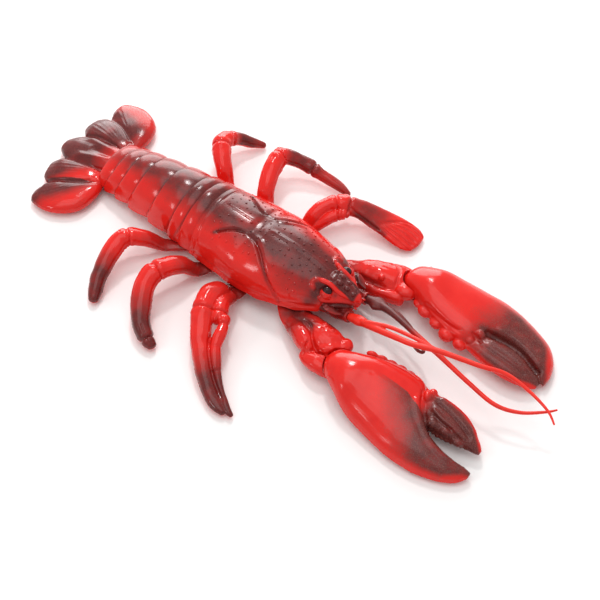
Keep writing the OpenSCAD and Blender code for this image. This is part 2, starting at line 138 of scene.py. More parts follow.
class LobsterStage(bpy.types.PropertyGroup):
    azimuth: bpy.props.FloatProperty(
        name="Azimuth", description="Side the camera looks from", subtype="ANGLE",
        default=math.radians(51.6))
    elevation: bpy.props.FloatProperty(
        name="Elevation", description="Height the camera looks from", subtype="ANGLE",
        default=math.radians(52))
    distance: bpy.props.FloatProperty(
        name="Distance", description="Camera distance from the middle of the view",
        default=0.751, min=0.3, unit="LENGTH")
    key_power: bpy.props.FloatProperty(
        name="Key power", description="Power of the overhead softbox, which the side one follows",
        default=2.6, min=0, unit="POWER")
    fill_power: bpy.props.FloatProperty(
        name="Panel power", description="Power of the wide panels behind and above",
        default=37.0, min=0, unit="POWER")
    world: bpy.props.FloatProperty(
        name="Surround", description="Brightness of the white surround", default=0.66, min=0)


def sizes():
    return bpy.context.scene.lobster_sizes


def colours():
    return bpy.context.scene.lobster_colours


# ---------------------------------------------------------------- materials

def new_material(name):
    """Empty material, its node tree, and the place that its textures are drawn by."""
    mat = bpy.data.materials.new(name)
    mat.use_nodes = True
    tree = mat.node_tree
    tree.nodes.clear()
    return mat, tree, add(tree, "ShaderNodeTexCoord").outputs["Object"]


def close_material(mat, inputs):
    """Ends a material with its shader, and returns it."""
    shader = add(mat.node_tree, "ShaderNodeBsdfPrincipled", inputs)
    add(mat.node_tree, "ShaderNodeOutputMaterial", {"Surface": shader.outputs[0]})
    return mat


def painted_pvc(name, base, deep, gloss, wet=None, speck_and_sheen=None):
    """Moulded PVC, airbrushed from above: an even glossy red that deepens a little in patches,
    under a thin maroon mist that breaks into dry specks where it fades out. The mist also
    carries shade painted into creases and hollows, and its light specks are partly painted sheen."""
    mat, tree, place = new_material(name)
    wet, speck_and_sheen = wet or colours().paint, speck_and_sheen or colours().paint_speck_and_sheen
    # the stored amount is airbrushed paint together with painted shade in creases and hollows
    mist = add(tree, "ShaderNodeAttribute", attribute_name="airbrush").outputs["Fac"]
    # airbrush droplets of 0.1 mm are drawn 0.5 mm wide, so that they show
    specks = add(tree, "ShaderNodeTexNoise", {
        "Vector": place, "Scale": 1 / (0.5 * MM), "Detail": 2.0, "Roughness": 0.6})
    # hand movement of the spray shows as 7 mm clouds
    clouds = add(tree, "ShaderNodeTexNoise", {
        "Vector": place, "Scale": 1 / (7 * MM), "Detail": 2.0})
    speck_amount = add(tree, "ShaderNodeMapRange", {
        "Value": specks.outputs["Fac"], "From Min": 0.25, "From Max": 0.75,
        "To Min": -0.2, "To Max": 0.2})
    cloud_amount = add(tree, "ShaderNodeMapRange", {
        "Value": clouds.outputs["Fac"], "From Min": 0.3, "From Max": 0.7,
        "To Min": -0.13, "To Max": 0.13})
    shaken = add(tree, "ShaderNodeMath", {
        0: speck_amount.outputs[0], 1: cloud_amount.outputs[0]}, operation="ADD")
    summed = add(tree, "ShaderNodeMath", {0: mist, 1: shaken.outputs[0]}, operation="ADD")
    cover = add(tree, "ShaderNodeMapRange", {
        "Value": summed.outputs[0], "From Min": 0.06, "From Max": 0.95, "To Max": 0.96})
    cover = cover.outputs[0]
    red = add(tree, "ShaderNodeMix", {
        0: clouds.outputs["Fac"], 6: (*deep, 1), 7: (*base, 1)}, data_type="RGBA")
    # the lighter dry specks are partly the paint's own grain and partly a painted sheen
    dry = add(tree, "ShaderNodeMapRange", {
        "Value": specks.outputs["Fac"], "From Min": 0.42, "From Max": 0.74})
    maroon = add(tree, "ShaderNodeMix", {
        0: dry.outputs[0], 6: (*wet, 1), 7: (*speck_and_sheen, 1)}, data_type="RGBA")
    colour = add(tree, "ShaderNodeMix", {0: cover}, data_type="RGBA")
    tree.links.new(red.outputs[2], colour.inputs[6])
    tree.links.new(maroon.outputs[2], colour.inputs[7])
    rough = add(tree, "ShaderNodeMapRange", {
        "Value": cover, "To Min": gloss, "To Max": gloss + 0.06})
    # mould texture with a grain of 0.8 mm, and the grain of the dry paint over it
    grain = add(tree, "ShaderNodeTexNoise", {
        "Vector": place, "Scale": 1 / (0.8 * MM), "Detail": 1.0})
    heights = add(tree, "ShaderNodeMix", {
        0: cover, 2: grain.outputs["Fac"], 3: specks.outputs["Fac"]})
    bump = add(tree, "ShaderNodeBump", {
        "Height": heights.outputs[0], "Strength": 0.3, "Distance": 0.05 * MM})
    return close_material(mat, {
        "Base Color": colour.outputs[2], "Roughness": rough.outputs[0],
        "Normal": bump.outputs[0], "IOR": 1.5, "Specular IOR Level": 0.36})


def eye_gloss():
    """Gloss enamel dabbed on the eyes by brush: nearly black, with a wet clear highlight and
    a slightly uneven, thicker middle."""
    mat, tree, place = new_material("brushed_enamel_eye")
    strokes = add(tree, "ShaderNodeTexNoise", {
        "Vector": place, "Scale": 1 / (1.5 * MM), "Detail": 2.0})
    tint = add(tree, "ShaderNodeMix", {
        0: strokes.outputs["Fac"], 6: (*colours().eye, 1), 7: (*colours().paint, 1)},
        data_type="RGBA")
    bump = add(tree, "ShaderNodeBump", {
        "Height": strokes.outputs["Fac"], "Strength": 0.2, "Distance": 0.05 * MM})
    return close_material(mat, {
        "Base Color": tint.outputs[2], "Roughness": 0.14, "Normal": bump.outputs[0],
        "IOR": 1.5, "Specular IOR Level": 0.35})


def floor_paper():
    """Matt paper sweep: nearly white, with a faint fibre of 2 mm."""
    mat, tree, place = new_material("matt_paper_sweep")
    fibre = add(tree, "ShaderNodeTexNoise", {"Vector": place, "Scale": 1 / (2 * MM)})
    bump = add(tree, "ShaderNodeBump", {
        "Height": fibre.outputs["Fac"], "Strength": 0.05, "Distance": 0.05 * MM})
    return close_material(mat, {
        "Base Color": (*colours().floor, 1), "Roughness": 0.9, "Normal": bump.outputs[0],
        "Specular IOR Level": 0.1})


MATERIALS = {}


def finish_of(name):
    """One of the finishes, made when it is first asked for."""
    c = colours()
    makers = {
        "shell": lambda: painted_pvc("airbrushed_pvc_shell", c.shell, c.shell_deep, 0.15),
        "claw": lambda: painted_pvc("airbrushed_pvc_claw", c.shell, c.shell_deep, 0.17,
                                    c.claw_paint, c.claw_dry),
        "limb": lambda: painted_pvc("airbrushed_pvc_limb", c.shell, c.shell_deep, 0.13),
        "whip": lambda: painted_pvc("soft_pvc_whip", c.whip, c.shell, 0.34),
        "eye": eye_gloss,
        "floor": floor_paper,
    }
    if name not in MATERIALS:
        MATERIALS[name] = makers[name]()
    return MATERIALS[name]


# ---------------------------------------------------------------- solid shapes, in millimetres

def spline(rows, per=6):
    """Catmull-Rom curve through rows of equal length."""
    r = np.array(rows, float)
    last = len(r) - 1
    t = np.linspace(0, 1, per, endpoint=False)[:, None]
    out = []
    for i in range(last):
        a, b, c, d = r[max(i - 1, 0)], r[i], r[i + 1], r[min(i + 2, last)]
        out.append(0.5 * (2 * b + (c - a) * t + (2 * a - 5 * b + 4 * c - d) * t ** 2
                          + (3 * b - a - 3 * c + d) * t ** 3))
    return np.vstack(out + [r[-1:]])


def fade(value, start, end):
    """0 before start, 1 past end, and a smooth change between, whichever is larger."""
    t = np.clip((value - start) / (end - start), 0, 1)
    return t * t * (3 - 2 * t)


def ring_faces(rings, sides, wrap=True):
    """Quads between neighbouring rings of points."""
    i = np.arange(rings - 1)[:, None] * sides
    k = np.arange(sides if wrap else sides - 1)[None, :]
    n = (k + 1) % sides
    return np.stack([i + k, i + n, i + sides + n, i + sides + k], -1).reshape(-1, 4).tolist()


def capped(rings):
    """Closed part from rings of points."""
    rings = np.array(rings)
    count, sides = rings.shape[:2]
    faces = ring_faces(count, sides)
    faces += [list(range(sides))[::-1], list(range((count - 1) * sides, count * sides))]
    return rings.reshape(-1, 3), faces


def limb(rows, sides=18, per=5, square=1.0, blunt=0.8):
    """Closed limb through rows of x, y, z, half width and half height, with round ends."""
    r = spline(rows, per)
    go = np.gradient(r[:, :3], axis=0)
    go /= np.linalg.norm(go, axis=1)[:, None]
    side = np.cross(go, (0, 0, 1))
    side /= np.linalg.norm(side, axis=1)[:, None]
    up = np.cross(side, go)
    w = np.linspace(0, 2 * np.pi, sides, endpoint=False)
    cos, sin = (np.sign(f(w)) * abs(f(w)) ** square for f in (np.cos, np.sin))

    def ring(i, size, shift):
        reach = blunt * min(r[i, 3], r[i, 4])
        return (r[i, :3] + go[i] * reach * shift + side[i] * (r[i, 3] * size * cos)[:, None]
                + up[i] * (r[i, 4] * size * sin)[:, None])

    ends = np.radians((80, 55, 28))
    rings = [ring(0, math.cos(a), -math.sin(a)) for a in ends]
    rings += [ring(i, 1, 0) for i in range(len(r))]
    rings += [ring(-1, math.cos(a), math.sin(a)) for a in ends[::-1]]
    return capped(rings)


def lens(rows, per=6, sides=40):
    """Closed loft along Y. Rows: y, x0, x1, z0, z1, rise, drop."""
    w = np.pi - np.linspace(0, 2 * np.pi, sides, endpoint=False)
    u, v = (np.sign(f(w)) * abs(f(w)) ** 0.9 for f in (np.cos, np.sin))
    rings = []
    for y, x0, x1, z0, z1, rise, drop in spline(rows, per):
        x = (x0 + x1) / 2 + (x1 - x0) / 2 * u
        z = z0 + (z1 - z0) * (u + 1) / 2 + v * np.where(v > 0, rise, drop)
        rings.append(np.stack([x, np.full_like(x, y), z], -1))
    return capped(rings)


def turn_about_z(degrees):
    """Rotation matrix about the vertical."""
    a = math.radians(degrees)
    return np.array([[math.cos(a), -math.sin(a), 0], [math.sin(a), math.cos(a), 0], [0, 0, 1]])


def ball(at, radius, stretch=(1, 1, 1), turn=0.0):
    """Round knob, stretched along its own axes and turned about Z in degrees."""
    bm = bmesh.new()
    bmesh.ops.create_icosphere(bm, subdivisions=3, radius=1)
    points = np.array([v.co for v in bm.verts]) * radius * np.array(stretch)
    faces = [[v.index for v in f.verts] for f in bm.faces]
    bm.free()
    return points @ turn_about_z(turn).T + np.array(at), faces


def drum(at, radius, low, high, sides=48):
    """Upright drum between two heights."""
    w = np.linspace(0, 2 * np.pi, sides, endpoint=False)
    rings = [np.stack([at[0] + radius * np.cos(w), at[1] + radius * np.sin(w),
                       np.full(sides, z)], -1) for z in (low, high)]
    return capped(rings)


def peg(start, end, r0, r1, sides=32):
    """Straight round bar between two points."""
    start, end = np.array(start, float), np.array(end, float)
    go = (end - start) / np.linalg.norm(end - start)
    side = np.cross(go, (0, 0, 1))
    side /= np.linalg.norm(side)
    up = np.cross(side, go)
    w = np.linspace(0, 2 * np.pi, sides, endpoint=False)[:, None]
    rings = [p + r * (side * np.cos(w) + up * np.sin(w)) for p, r in ((start, r0), (end, r1))]
    return capped(rings)


def on_side(side, part):
    """The part on its own side: shapes are drawn for the left, at +X."""
    points, faces = part
    if side == LEFT:
        return points, faces
    return points * (-1, 1, 1), [f[::-1] for f in faces]


def mirrored(line, side):
    """A line drawn for the left, on its own side."""
    line = np.array(line, float)
    line[:, 0] *= side
    return line


def joined(parts):
    """One list of points and faces from several parts."""
    points, faces, base = [], [], 0
    for p, f in parts:
        points.append(p)
        faces += [[i + base for i in face] for face in f]
        base += len(p)
    return np.vstack(points), faces


def to_mesh(name, parts):
    """One mesh from several parts."""
    points, faces = joined(parts)
    mesh = bpy.data.meshes.new(name)
    mesh.from_pydata(points.tolist(), [], faces)
    mesh.update()
    return mesh


def stand_in(name, data):
    """Object in the scene for a mesh, curve, light or camera."""
    obj = bpy.data.objects.new(name, data)
    bpy.context.scene.collection.objects.link(obj)
    return obj


def evaluated(obj):
    """The object's mesh with its modifiers applied, after which the object is removed."""
    graph = bpy.context.evaluated_depsgraph_get()
    mesh = bpy.data.meshes.new_from_object(obj.evaluated_get(graph), depsgraph=graph)
    data = obj.data
    bpy.data.objects.remove(obj)
    if data.users == 0:
        (bpy.data.curves if isinstance(data, bpy.types.Curve) else bpy.data.meshes).remove(data)
    return mesh


# ---------------------------------------------------------------- skins

def distance_to(points, line, flat=False):
    """Distance of each point from a bent line, and how far along the line that is, 0 to 1."""
    line = np.array(line, float)[:, :3].copy()
    points = np.array(points)
    if flat:
        line, points = line[:, :2], points[:, :2]
    steps = np.linalg.norm(np.diff(line, axis=0), axis=1)
    done = np.concatenate([[0], np.cumsum(steps)]) / steps.sum()
    best, along = np.full(len(points), 1e9), np.zeros(len(points))
    for i, (a, b) in enumerate(zip(line[:-1], line[1:])):
        ab = b - a
        t = np.clip((points - a) @ ab / (ab @ ab), 0, 1)
        d = np.linalg.norm(points - (a + t[:, None] * ab), axis=1)
        nearer = d < best
        best[nearer] = d[nearer]
        along[nearer] = (done[i] + t * (done[i + 1] - done[i]))[nearer]
    return best, along


def points_of(mesh):
    """Positions of a mesh's points, one row for each."""
    at = np.empty(len(mesh.vertices) * 3, np.float32)
    mesh.vertices.foreach_get("co", at)
    return at.reshape(-1, 3)


class Skin:
    """A piece's surface while it is worked, in millimetres."""

    def __init__(self, mesh):
        self.mesh = mesh
        self.at = points_of(mesh).astype(float)
        self.paint = np.zeros(len(self.at))

    def out(self):
        """Outward direction at each point."""
        self.mesh.vertices.foreach_set("co", self.at.astype(np.float32).ravel())
        self.mesh.update()
        n = np.empty(len(self.at) * 3, np.float32)
        self.mesh.vertex_normals.foreach_get("vector", n)
        return n.reshape(-1, 3).astype(float)

    def push(self, amount):
        """Moves each point along its outward direction."""
        self.at += self.out() * np.asarray(amount)[:, None]

    def score(self, line, width, depth, flat=True, smooth=6, face=None, ends=0.12):
        """Cuts a groove along a line, or raises a ridge where depth is below 0."""
        path = spline(line, smooth) if smooth else line
        d, along = distance_to(self.at, path, flat)
        taper = fade(along, 0, ends) * fade(-along, -1, -1 + ends) if ends else 1
        amount = -depth * np.exp(-(d / width) ** 2) * taper
        if flat:
            amount = amount * fade(self.out()[:, 2], -0.1, 0.3)
        if face is not None:
            amount = amount * face
        self.push(amount)

    def distance(self, at):
        """Distance of each point from a place."""
        return np.linalg.norm(self.at - np.array(at), axis=1)

    def swell(self, at, radius, height):
        """Raises a soft bump, or sinks a dent where height is below 0."""
        self.push(height * np.exp(-(self.distance(at) / radius) ** 2))

    def wrinkle(self, size, height, seed=0.0, face=None):
        """Hand-carved unevenness of a given size."""
        offset = Vector((seed, seed * 1.7, seed * 0.3))
        face = np.ones(len(self.at)) if face is None else face
        self.push([height * f * noise.noise(Vector(p) / size + offset)
                   for p, f in zip(self.at, face)])

    def finished(self, name):
        """The surface as a mesh in metres, with its paint, painted shade included, stored for the
        material.
        """
        self.at = self.at * MM
        self.out()
        self.mesh.name = name
        store(self.mesh, "airbrush", self.paint)
        return self.mesh

    def dust_and_shade(self, amount):
        """Adds airbrushed paint, 0 to 1; where it is laid in creases and hollows it is painted
        shade.
        """
        self.paint = 1 - (1 - self.paint) * (1 - np.clip(amount, 0, 1))

    def dust_spot_and_shade(self, at, radius, amount):
        """Adds a soft spot of paint round a place; in hollows the spot is painted shade."""
        self.dust_and_shade(amount * np.exp(-(self.distance(at) / radius) ** 2))

    def dust_line_and_shade(self, line, radius, amount=1, face=1, flat=False):
        """Adds a soft stroke of paint along a line; in grooves the stroke is painted shade."""
        d, _ = distance_to(self.at, line, flat)
        self.dust_and_shade(amount * np.exp(-(d / radius) ** 2) * face)


def fuse(name, parts, step=None, rounds=5, bores=()):
    """One closed skin over several overlapping parts, with round bores cut into it."""
    step = step or sizes().skin_step / MM
    obj = stand_in(name, to_mesh(name, parts))
    remesh = obj.modifiers.new("skin", "REMESH")
    remesh.mode = "VOXEL"
    remesh.voxel_size = step
    soften = obj.modifiers.new("soften", "SMOOTH")
    soften.factor, soften.iterations = 0.5, rounds
    if not bores:
        return Skin(evaluated(obj))
    cutter = stand_in(name + "_bores", to_mesh(name + "_bores", bores))
    cut = obj.modifiers.new("bores", "BOOLEAN")
    cut.operation, cut.object, cut.solver = "DIFFERENCE", cutter, "EXACT"
    mesh = evaluated(obj)
    bpy.data.objects.remove(cutter)
    return Skin(mesh)


def piece(name, skin, body, slot_name, finish, *nodes, sharp=SHARP):
    """Turns a worked skin into a finished piece on its body."""
    return settle(name, skin.finished(name), body, slot_name, finish, *nodes, sharp=sharp)


def store(mesh, name, values):
    """Writes a value for each point, for a material or a scatter to read."""
    attribute = mesh.attributes.get(name) or mesh.attributes.new(name, "FLOAT", "POINT")
    attribute.data.foreach_set("value", np.asarray(values, np.float32))


def settle(name, mesh, body, slot_name, finish, *nodes, sharp=SHARP):
    """Gives a mesh its finish and puts it on its body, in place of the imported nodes."""
    mesh.shade_smooth()
    mesh.set_sharp_from_angle(angle=math.radians(sharp))
    mesh.materials.clear()
    mesh.materials.append(finish_of(finish))
    obj = stand_in(name, mesh)
    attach(obj, body)
    if nodes:
        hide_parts(*nodes)
    return obj


# ---------------------------------------------------------------- geometry node trees

def new_tree(name, inputs):
    """Empty geometry node tree with named inputs: (name, socket type, default)."""
    tree = bpy.data.node_groups.new(name, "GeometryNodeTree")
    tree.is_modifier = True
    tree.interface.new_socket("Geometry", in_out="INPUT", socket_type="NodeSocketGeometry")
    for label, kind, default in inputs:
        socket = tree.interface.new_socket(label, in_out="INPUT", socket_type=kind)
        if default is not None:
            socket.default_value = default
    tree.interface.new_socket("Geometry", in_out="OUTPUT", socket_type="NodeSocketGeometry")
    return tree, add(tree, "NodeGroupInput").outputs


def close_tree(tree, geometry, material):
    """Turns instances into mesh, sets the material and ends the tree."""
    real = add(tree, "GeometryNodeRealizeInstances", {0: geometry})
    done = add(tree, "GeometryNodeSetMaterial", {0: real.outputs[0], "Material": material})
    add(tree, "NodeGroupOutput", {0: done.outputs[0]})
    return tree


def run_tree(obj, tree, **values):
    """Puts a tree on an object with its inputs set, and returns the resulting mesh."""
    grow = obj.modifiers.new(tree.name, "NODES")
    grow.node_group = tree
    for item in tree.interface.items_tree:
        key = item.name.lower().replace(" ", "_")
        if item.in_out == "INPUT" and key in values:
            grow[item.identifier] = values[key]
    return evaluated(obj)


def whip_tree():
    """Round whip that follows a curve and keeps its taper."""
    tree, given = new_tree("whip_along_curve", [
        ("Thickness", "NodeSocketFloat", 1.0), ("Sides", "NodeSocketInt", 16),
        ("Material", "NodeSocketMaterial", None)])
    taper = add(tree, "GeometryNodeInputRadius")
    scale = add(tree, "ShaderNodeMath", {0: taper.outputs[0], 1: given["Thickness"]},
                operation="MULTIPLY")
    circle = add(tree, "GeometryNodeCurvePrimitiveCircle", {
        "Resolution": given["Sides"], "Radius": 1.0})
    sweep = add(tree, "GeometryNodeCurveToMesh", {
        "Curve": given["Geometry"], "Profile Curve": circle.outputs[0], "Fill Caps": True})
    if "Scale" in sweep.inputs:
        tree.links.new(scale.outputs[0], sweep.inputs["Scale"])
    return close_tree(tree, sweep.outputs[0], given["Material"])


def stud_row_tree():
    """Row of round studs along a curve, stretched along it."""
    tree, given = new_tree("studs_along_curve", [
        ("Spacing", "NodeSocketFloat", 1.0), ("Radius", "NodeSocketFloat", 1.0),
        ("Stretch", "NodeSocketVector", (1, 1, 1)), ("Unevenness", "NodeSocketFloat", 0.2),
        ("Seed", "NodeSocketInt", 3), ("Material", "NodeSocketMaterial", None)])
    even = add(tree, "GeometryNodeResampleCurve", {
        "Curve": given["Geometry"], "Length": given["Spacing"]}, mode="LENGTH")
    stud = add(tree, "GeometryNodeMeshIcoSphere", {
        "Radius": given["Radius"], "Subdivisions": 2})
    shaped = add(tree, "GeometryNodeTransform", {0: stud.outputs[0], "Scale": given["Stretch"]})
    tangent = add(tree, "GeometryNodeInputTangent")
    turn = add(tree, "FunctionNodeAlignRotationToVector", {
        "Vector": tangent.outputs[0]}, axis="Y", pivot_axis="Z")
    low = add(tree, "ShaderNodeMath", {0: 1.0, 1: given["Unevenness"]}, operation="SUBTRACT")
    high = add(tree, "ShaderNodeMath", {0: 1.0, 1: given["Unevenness"]}, operation="ADD")
    vary = add(tree, "FunctionNodeRandomValue", {
        2: low.outputs[0], 3: high.outputs[0], "Seed": given["Seed"]}, data_type="FLOAT")
    studs = add(tree, "GeometryNodeInstanceOnPoints", {
        "Points": even.outputs[0], "Instance": shaped.outputs[0],
        "Rotation": turn.outputs[0], "Scale": vary.outputs[1]})
    return close_tree(tree, studs.outputs[0], given["Material"])


def pimple_tree():
    """Low round pimples scattered over a shell, where its pimple_zone allows them."""
    tree, given = new_tree("pimples_on_shell", [
        ("Gap", "NodeSocketFloat", 0.003), ("Radius", "NodeSocketFloat", 0.0005),
        ("Height", "NodeSocketFloat", 0.6), ("Seed", "NodeSocketInt", 11),
        ("Material", "NodeSocketMaterial", None)])
    zone = add(tree, "GeometryNodeInputNamedAttribute", {"Name": "pimple_zone"},
               data_type="FLOAT")
    spots = add(tree, "GeometryNodeDistributePointsOnFaces", {
        "Mesh": given["Geometry"], "Distance Min": given["Gap"], "Density Max": 2.6e5,
        "Density Factor": zone.outputs[0], "Seed": given["Seed"]},
        distribute_method="POISSON")
    dome = add(tree, "GeometryNodeMeshIcoSphere", {
        "Radius": given["Radius"], "Subdivisions": 2})
    flat = add(tree, "ShaderNodeCombineXYZ", {0: 1.0, 1: 1.0, 2: given["Height"]})
    low = add(tree, "GeometryNodeTransform", {0: dome.outputs[0], "Scale": flat.outputs[0]})
    smooth = add(tree, "GeometryNodeSetShadeSmooth", {0: low.outputs[0]})
    vary = add(tree, "FunctionNodeRandomValue", {
        2: 0.6, 3: 1.15, "Seed": given["Seed"]}, data_type="FLOAT")
    pimples = add(tree, "GeometryNodeInstanceOnPoints", {
        "Points": spots.outputs[0], "Instance": smooth.outputs[0],
        "Rotation": spots.outputs["Rotation"], "Scale": vary.outputs[1]})
    both = add(tree, "GeometryNodeJoinGeometry")
    tree.links.new(pimples.outputs[0], both.inputs[0])
    tree.links.new(given["Geometry"], both.inputs[0])
    return close_tree(tree, both.outputs[0], given["Material"])


TREES = {}


def tree_of(maker):
    """One of the trees, made when it is first asked for."""
    if maker not in TREES:
        TREES[maker] = maker()
    return TREES[maker]


def curve_object(name, rows, radii=None):
    """Curve object through points, in whatever unit they are in."""
    curve = bpy.data.curves.new(name, "CURVE")
    curve.dimensions = "3D"
    strand = curve.splines.new("POLY")
    strand.points.add(len(rows) - 1)
    for i, point in enumerate(strand.points):
        point.co = (*rows[i][:3], 1)
        point.radius = 1.0 if radii is None else radii[i]
    return stand_in(name, curve)


def mesh_part(mesh):
    """Points and faces of a mesh, which is then removed."""
    points = np.array([v.co for v in mesh.vertices])
    faces = [list(p.vertices) for p in mesh.polygons]
    bpy.data.meshes.remove(mesh)
    return points, faces


def whip_part(rows, side):
    """Tapered whip through rows of x, y, z and radius."""
    r = mirrored(spline(rows, 6), side)
    obj = curve_object("whip_path", r, r[:, 3])
    return mesh_part(run_tree(obj, tree_of(whip_tree), sides=18,
                              thickness=sizes().whip_thickness, material=finish_of("whip")))


def stud_part(line, side, spacing, radius, stretch=(1, 1, 1), unevenness=0.15, seed=3):
    """Row of studs along a line drawn for the left side."""
    obj = curve_object("stud_path", mirrored(spline(line, 5), side))
    return mesh_part(run_tree(
        obj, tree_of(stud_row_tree), spacing=spacing, radius=radius, stretch=stretch,
        unevenness=unevenness, seed=seed, material=finish_of("limb")))


# ---------------------------------------------------------------- carapace and abdomen

# Dome of the carapace: y, half width, rim height, rise above the rim
CARAPACE = [
    (-38.6, 10.8, 15.4, 8.4), (-37.4, 14, 14, 10.8), (-35, 16.4, 13, 12.7),
    (-24, 21, 11.2, 18), (-8, 25.2, 9.6, 22), (6, 26.4, 8.8, 23), (14, 26.4, 8.6, 21.4),
    (20, 26, 8.5, 22.2), (32, 25, 8.3, 22.8), (44, 24, 8.2, 22.4),
]
# Rear edges of the abdomen rings, with the same four values
RINGS = [
    (44.4, 23.8, 8.2, 22.4), (52, 23.4, 8, 23), (60, 22.4, 7.4, 23.2), (75, 20.4, 6.8, 22.6),
    (90, 18.8, 6.2, 20.8), (101, 17.8, 5.8, 18.8), (110, 17, 5.4, 16.4), (119, 16.4, 5, 13),
]
# How far the lower lip of each ring hangs and its plate hooks back, against the rear ones: the
# front rings leave room for the rear legs
LIP_DROP = (0, 0, 0.5, 1, 1, 1, 1)
PLATE_HOOK = (0.3, 0.45, 0.8, 1, 1, 1, 1)
HOOK_REACH = 4.2
# How far the inside stays below the outside, past the wall, so that no crease cuts through
INNER_ROOM = {"carapace": 0.9, "abdomen": 1.7}


def dome_point(half, rim, rise, t, square=2.05):
    """Point of a dome section, from the left rim at t = 0 over the top to the right rim."""
    a = np.pi * t
    x = half * np.sign(np.cos(a)) * abs(np.cos(a)) ** (2 / square)
    z = rim + rise * abs(np.sin(a)) ** (2 / square)
    return x, z


def shell_solid(name, outer, inner):
    """Closed shell between an outer and an inner grid of the same number of rows."""
    rows, many = outer.shape[:2]
    few = inner.shape[1]
    base = rows * many
    faces = [f[::-1] for f in ring_faces(rows, many, False)]
    faces += [[i + base for i in f] for f in ring_faces(rows, few, False)]
    for i in range(rows - 1):
        a, b = i * many, (i + 1) * many
        c, d = base + i * few, base + (i + 1) * few
        faces.append([a, b, d, c][::-1])
        faces.append([a + many - 1, c + few - 1, d + few - 1, b + many - 1][::-1])
    for row, turn in ((0, False), (rows - 1, True)):
        rim = [row * many + k for k in range(many)]
        rim += [base + row * few + k for k in range(few - 1, -1, -1)]
        faces.append(rim if turn else rim[::-1])
    mesh = bpy.data.meshes.new(name)
    mesh.from_pydata(np.vstack([outer.reshape(-1, 3), inner.reshape(-1, 3)]).tolist(), [], faces)
    bm = bmesh.new()
    bm.from_mesh(mesh)
    bmesh.ops.recalc_face_normals(bm, faces=bm.faces)
    bm.to_mesh(mesh)
    bm.free()
    mesh.update()
    return mesh


def gill_line(side):
    """Path of the gill groove on one side of the carapace."""
    return mirrored(spline([(16, 32.4, 26), (11.8, 26.5, 28.5), (9, 20.6, 29.8), (8.8, 14.7, 30),
                            (10.5, 9, 29.8), (13.2, 4.2, 28.8), (16.2, 0.2, 26.9),
                            (20.6, -6.6, 22), (22.6, -12, 17.8), (23.4, -16.6, 13)], 6), side)


# Ridge from the cheek over the eye to the end of the horn
BROW = [(12.6, -32.2, 22.8), (10.9, -29.2, 25.2), (8.6, -29, 26.2), (6.6, -31.8, 26.4),
        (5.6, -36.5, 25.5), (5.4, -41.4, 23.2), (3.9, -46.4, 20.9), (2.2, -50, 18.6)]
# The carapace carries the first part of it, and the head the rest
CARAPACE_BROW, HEAD_BROW = BROW[:5], BROW[3:]


